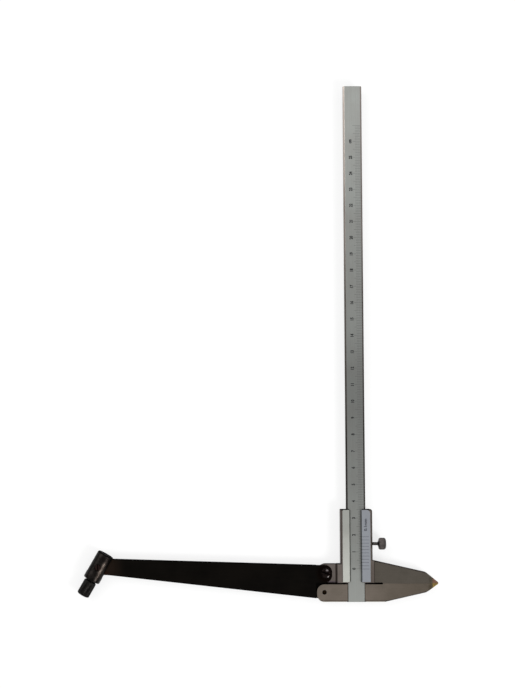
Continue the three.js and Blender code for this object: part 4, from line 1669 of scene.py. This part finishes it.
@dataclass
class ClampKnob(Assembly):
    """The knurled knob under the barrel and its threaded stem."""

    body: Body = Body.KNOB
    sides: int = 80
    gap: float = 0.7
    length: float = 9.6
    radius: float = 3.8
    foot_flat: float = 1.0
    foot_rounding: tuple[Pair, ...] = ((1.2, 0.06), (0.55, 0.24), (0.14, 0.56), (0.0, 0.9))
    top_rounding: tuple[Pair, ...] = ((0.0, 0.55), (0.12, 0.25), (0.5, 0.0))
    tooth: float = 0.12
    neck: float = 3.1
    neck_gap: float = 0.08
    bore: tuple[float, float, float] = (1.7, 1.6, 0.3)
    painted_shade_depth: float = 0.1
    stem: float = 1.5
    stem_sides: int = 40
    stem_top: float = 4.25
    stem_sunk: Pair = (4.0, 3.6)
    stem_core: Pair = (0.9, 0.85)
    stem_plain: float = 0.3
    pitch: float = 0.5

    def build(self) -> None:
        """Turns the knob and its stem."""
        along = tuple(-Vector(joint("clamp_knob_turn")["axis"]))
        seat = Seat(joint_place("clamp_knob_turn"), along, UP)
        top, foot, rim = -self.gap, -self.gap - self.length, self.radius
        collar = top + self.gap - self.neck_gap
        mouth, floor, depth = self.bore
        knob = Bench.turned(
            "clamp_knob_dressed",
            [
                (self.foot_flat, foot),
                *rounding(rim, foot, self.foot_rounding),
                (rim, (foot + top) / 2),
                *rounding(rim, top, self.top_rounding, -1.0),
                (self.neck, top),
                (self.neck, collar),
                (mouth, collar),
                (floor, top - depth),
            ],
            self.sides,
        )
        Bench.knurl(knob, rim, self.tooth, self.sides)
        # Painted shade: the faces near the knob's top get a dead black.
        tints = [(1, lambda face: face.center.z > (top - self.painted_shade_depth) * MM)]
        look = {"tints": tints, "edge": 0.0, "angle": 24.0, "seat": seat, "stands_for": ["clamp_knob"]}
        self.dress(knob, Finishes.KNURL, Finishes.BARREL_END, **look)
        (end, start), (tip, core) = self.stem_sunk, self.stem_core
        profile = [
            (tip * self.stem, top - end),
            *thread(self.stem, core, top - start, self.stem_top - self.stem_plain, self.pitch),
            (core * self.stem, self.stem_top),
        ]
        stem = Bench.turned("clamp_stem_dressed", profile, self.stem_sides)
        self.dress(stem, Finishes.BRIGHT, edge=0.0, angle=20.0, seat=seat, stands_for=["clamp_stem"])


@dataclass
class Studio:
    """The floor, the lamps, the sky and the camera."""

    floor_colour: Colour = (0.93, 0.93, 0.925)
    floor_fibres: float = 900.0
    floor_shade: float = 0.985
    floor_white: float = 0.72
    floor_gap: float = 0.02
    floor_size: float = 300.0
    floor_middle: float = 150.0
    camera_place: Point = (-58.5, 75.18, 800.0)
    camera_tilt: float = 5.66
    camera_turn: float = -0.1
    camera_focus: float = 1323.2
    camera_sensor: float = 36.0
    camera_near: float = 50.0
    picture_height: int = 688
    sky_ends: tuple[Colour, Colour] = ((0.2, 0.19, 0.185), (0.8, 0.8, 0.81))
    sky_levels: tuple[Pair, ...] = ((0.25, 0.4), (0.6, 0.9))
    lamp_aim: Point = (-50.0, 120.0, 0.0)
    lamps: tuple[tuple[str, Point, float, float], ...] = (
        ("key", (700.0, -450.0, 750.0), 0.4, 8.0),
        ("fill", (-900.0, 700.0, 900.0), 0.9, 7.0),
    )

    def build(self) -> None:
        """Builds the studio."""
        self.add_floor()
        self.add_sky()
        for name, place, size, power in self.lamps:
            self.add_lamp(name, place, size, power)
        self.add_camera()
        LOG.info("studio: floor, sky, %d lamps and camera", len(self.lamps))

    def add_floor(self) -> None:
        """Lays a plain pale floor just under the caliper."""
        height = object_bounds()[0].z - self.floor_gap * MM
        Bench.pick()
        bpy.ops.mesh.primitive_plane_add(size=self.floor_size, location=(0.0, self.floor_middle * MM, height))
        floor = Bench.named("floor")
        floor.data.materials.append(self.paper())
        floor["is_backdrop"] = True

    def paper(self) -> bpy.types.Material:
        """Makes the floor's paper, which the camera sees partly as plain white.

        Returns:
            The floor's material.
        """
        made = bpy.data.materials.new("floor_paper")
        wires = Wires.emptied(made)
        place = wires.node("ShaderNodeTexCoord").outputs["Object"]
        fibres = wires.noise(place, self.floor_fibres, 3.0)
        shade = tuple(self.floor_shade * value for value in self.floor_colour)
        paper = wires.node("ShaderNodeBsdfDiffuse", Color=wires.mix(fibres, self.floor_colour, shade))
        plain = wires.node("ShaderNodeEmission", Color=(1.0, 1.0, 1.0), Strength=1.0)
        ray = wires.node("ShaderNodeLightPath").outputs
        seen = wires.maths("MAXIMUM", ray["Is Camera Ray"], ray["Is Glossy Ray"])
        seen = wires.maths("MAXIMUM", seen, ray["Is Transmission Ray"])
        both = wires.node("ShaderNodeMixShader", Fac=wires.maths("MULTIPLY", seen, self.floor_white))
        wires.feed(both.inputs[1], paper.outputs[0])
        wires.feed(both.inputs[2], plain.outputs[0])
        wires.node("ShaderNodeOutputMaterial", Surface=both.outputs[0])
        return made

    def add_sky(self) -> None:
        """Makes a pale sky that darkens to the horizon, so that round and bevelled edges show."""
        world = bpy.context.scene.world = bpy.data.worlds.new("pale_sky")
        wires = Wires.emptied(world)
        direction = wires.node("ShaderNodeTexCoord").outputs["Generated"]
        height = wires.node("ShaderNodeSeparateXYZ", Vector=direction).outputs["Z"]
        ramp = wires.node("ShaderNodeValToRGB", Fac=height)
        stops = ramp.color_ramp.elements
        for stop, place, colour in zip(stops, (0.0, 1.0), self.sky_ends):
            stop.position, stop.color = place, (*colour, 1.0)
        for place, level in self.sky_levels:
            stops.new(place).color = (level, level, level, 1.0)
        sky = wires.node("ShaderNodeBackground", Color=ramp.outputs["Color"], Strength=1.0)
        wires.node("ShaderNodeOutputWorld", Surface=sky.outputs[0])

    def add_lamp(self, name: str, place: Point, size: float, power: float) -> None:
        """Hangs a soft square lamp that points at the caliper.

        Args:
            name: Its name.
            place: Where it hangs, in millimetres.
            size: Its side, in metres.
            power: Its power, in watts.
        """
        data = bpy.data.lights.new(name, "AREA")
        data.shape = "SQUARE"
        data.size = size
        data.energy = power
        lamp = bpy.data.objects.new(name, data)
        bpy.context.scene.collection.objects.link(lamp)
        lamp.location = Vector(place) * MM
        lamp.rotation_mode = "QUATERNION"
        lamp.rotation_quaternion = (Vector(self.lamp_aim) * MM - lamp.location).to_track_quat("-Z", "Y")

    def add_camera(self) -> None:
        """Sets up the camera of the front view."""
        data = bpy.data.cameras.new("front_camera")
        data.sensor_width = self.camera_sensor
        data.lens = data.sensor_width * self.camera_focus / self.picture_height
        data.clip_start = self.camera_near * MM
        camera = bpy.data.objects.new("front_camera", data)
        bpy.context.scene.collection.objects.link(camera)
        camera.location = Vector(self.camera_place) * MM
        camera.rotation_euler = (math.radians(self.camera_tilt), 0.0, math.radians(self.camera_turn))
        bpy.context.scene.camera = camera


def main() -> None:
    """Builds the studio and every assembly, in order."""
    logging.basicConfig(level=logging.INFO, format="%(name)s: %(message)s")
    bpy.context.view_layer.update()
    bpy.context.scene.view_settings.view_transform = "Standard"
    Studio().build()
    assemblies: list[Assembly] = [
        GraduatedBeam(),
        FixedJaw(),
        VernierSlider(),
        LockScrew(),
        ArmPivot(),
        SideArm(),
        ClampBarrel(),
        ClampKnob(),
    ]
    for assembly in assemblies:
        assembly.build()


if __name__ == "__main__":
    main()
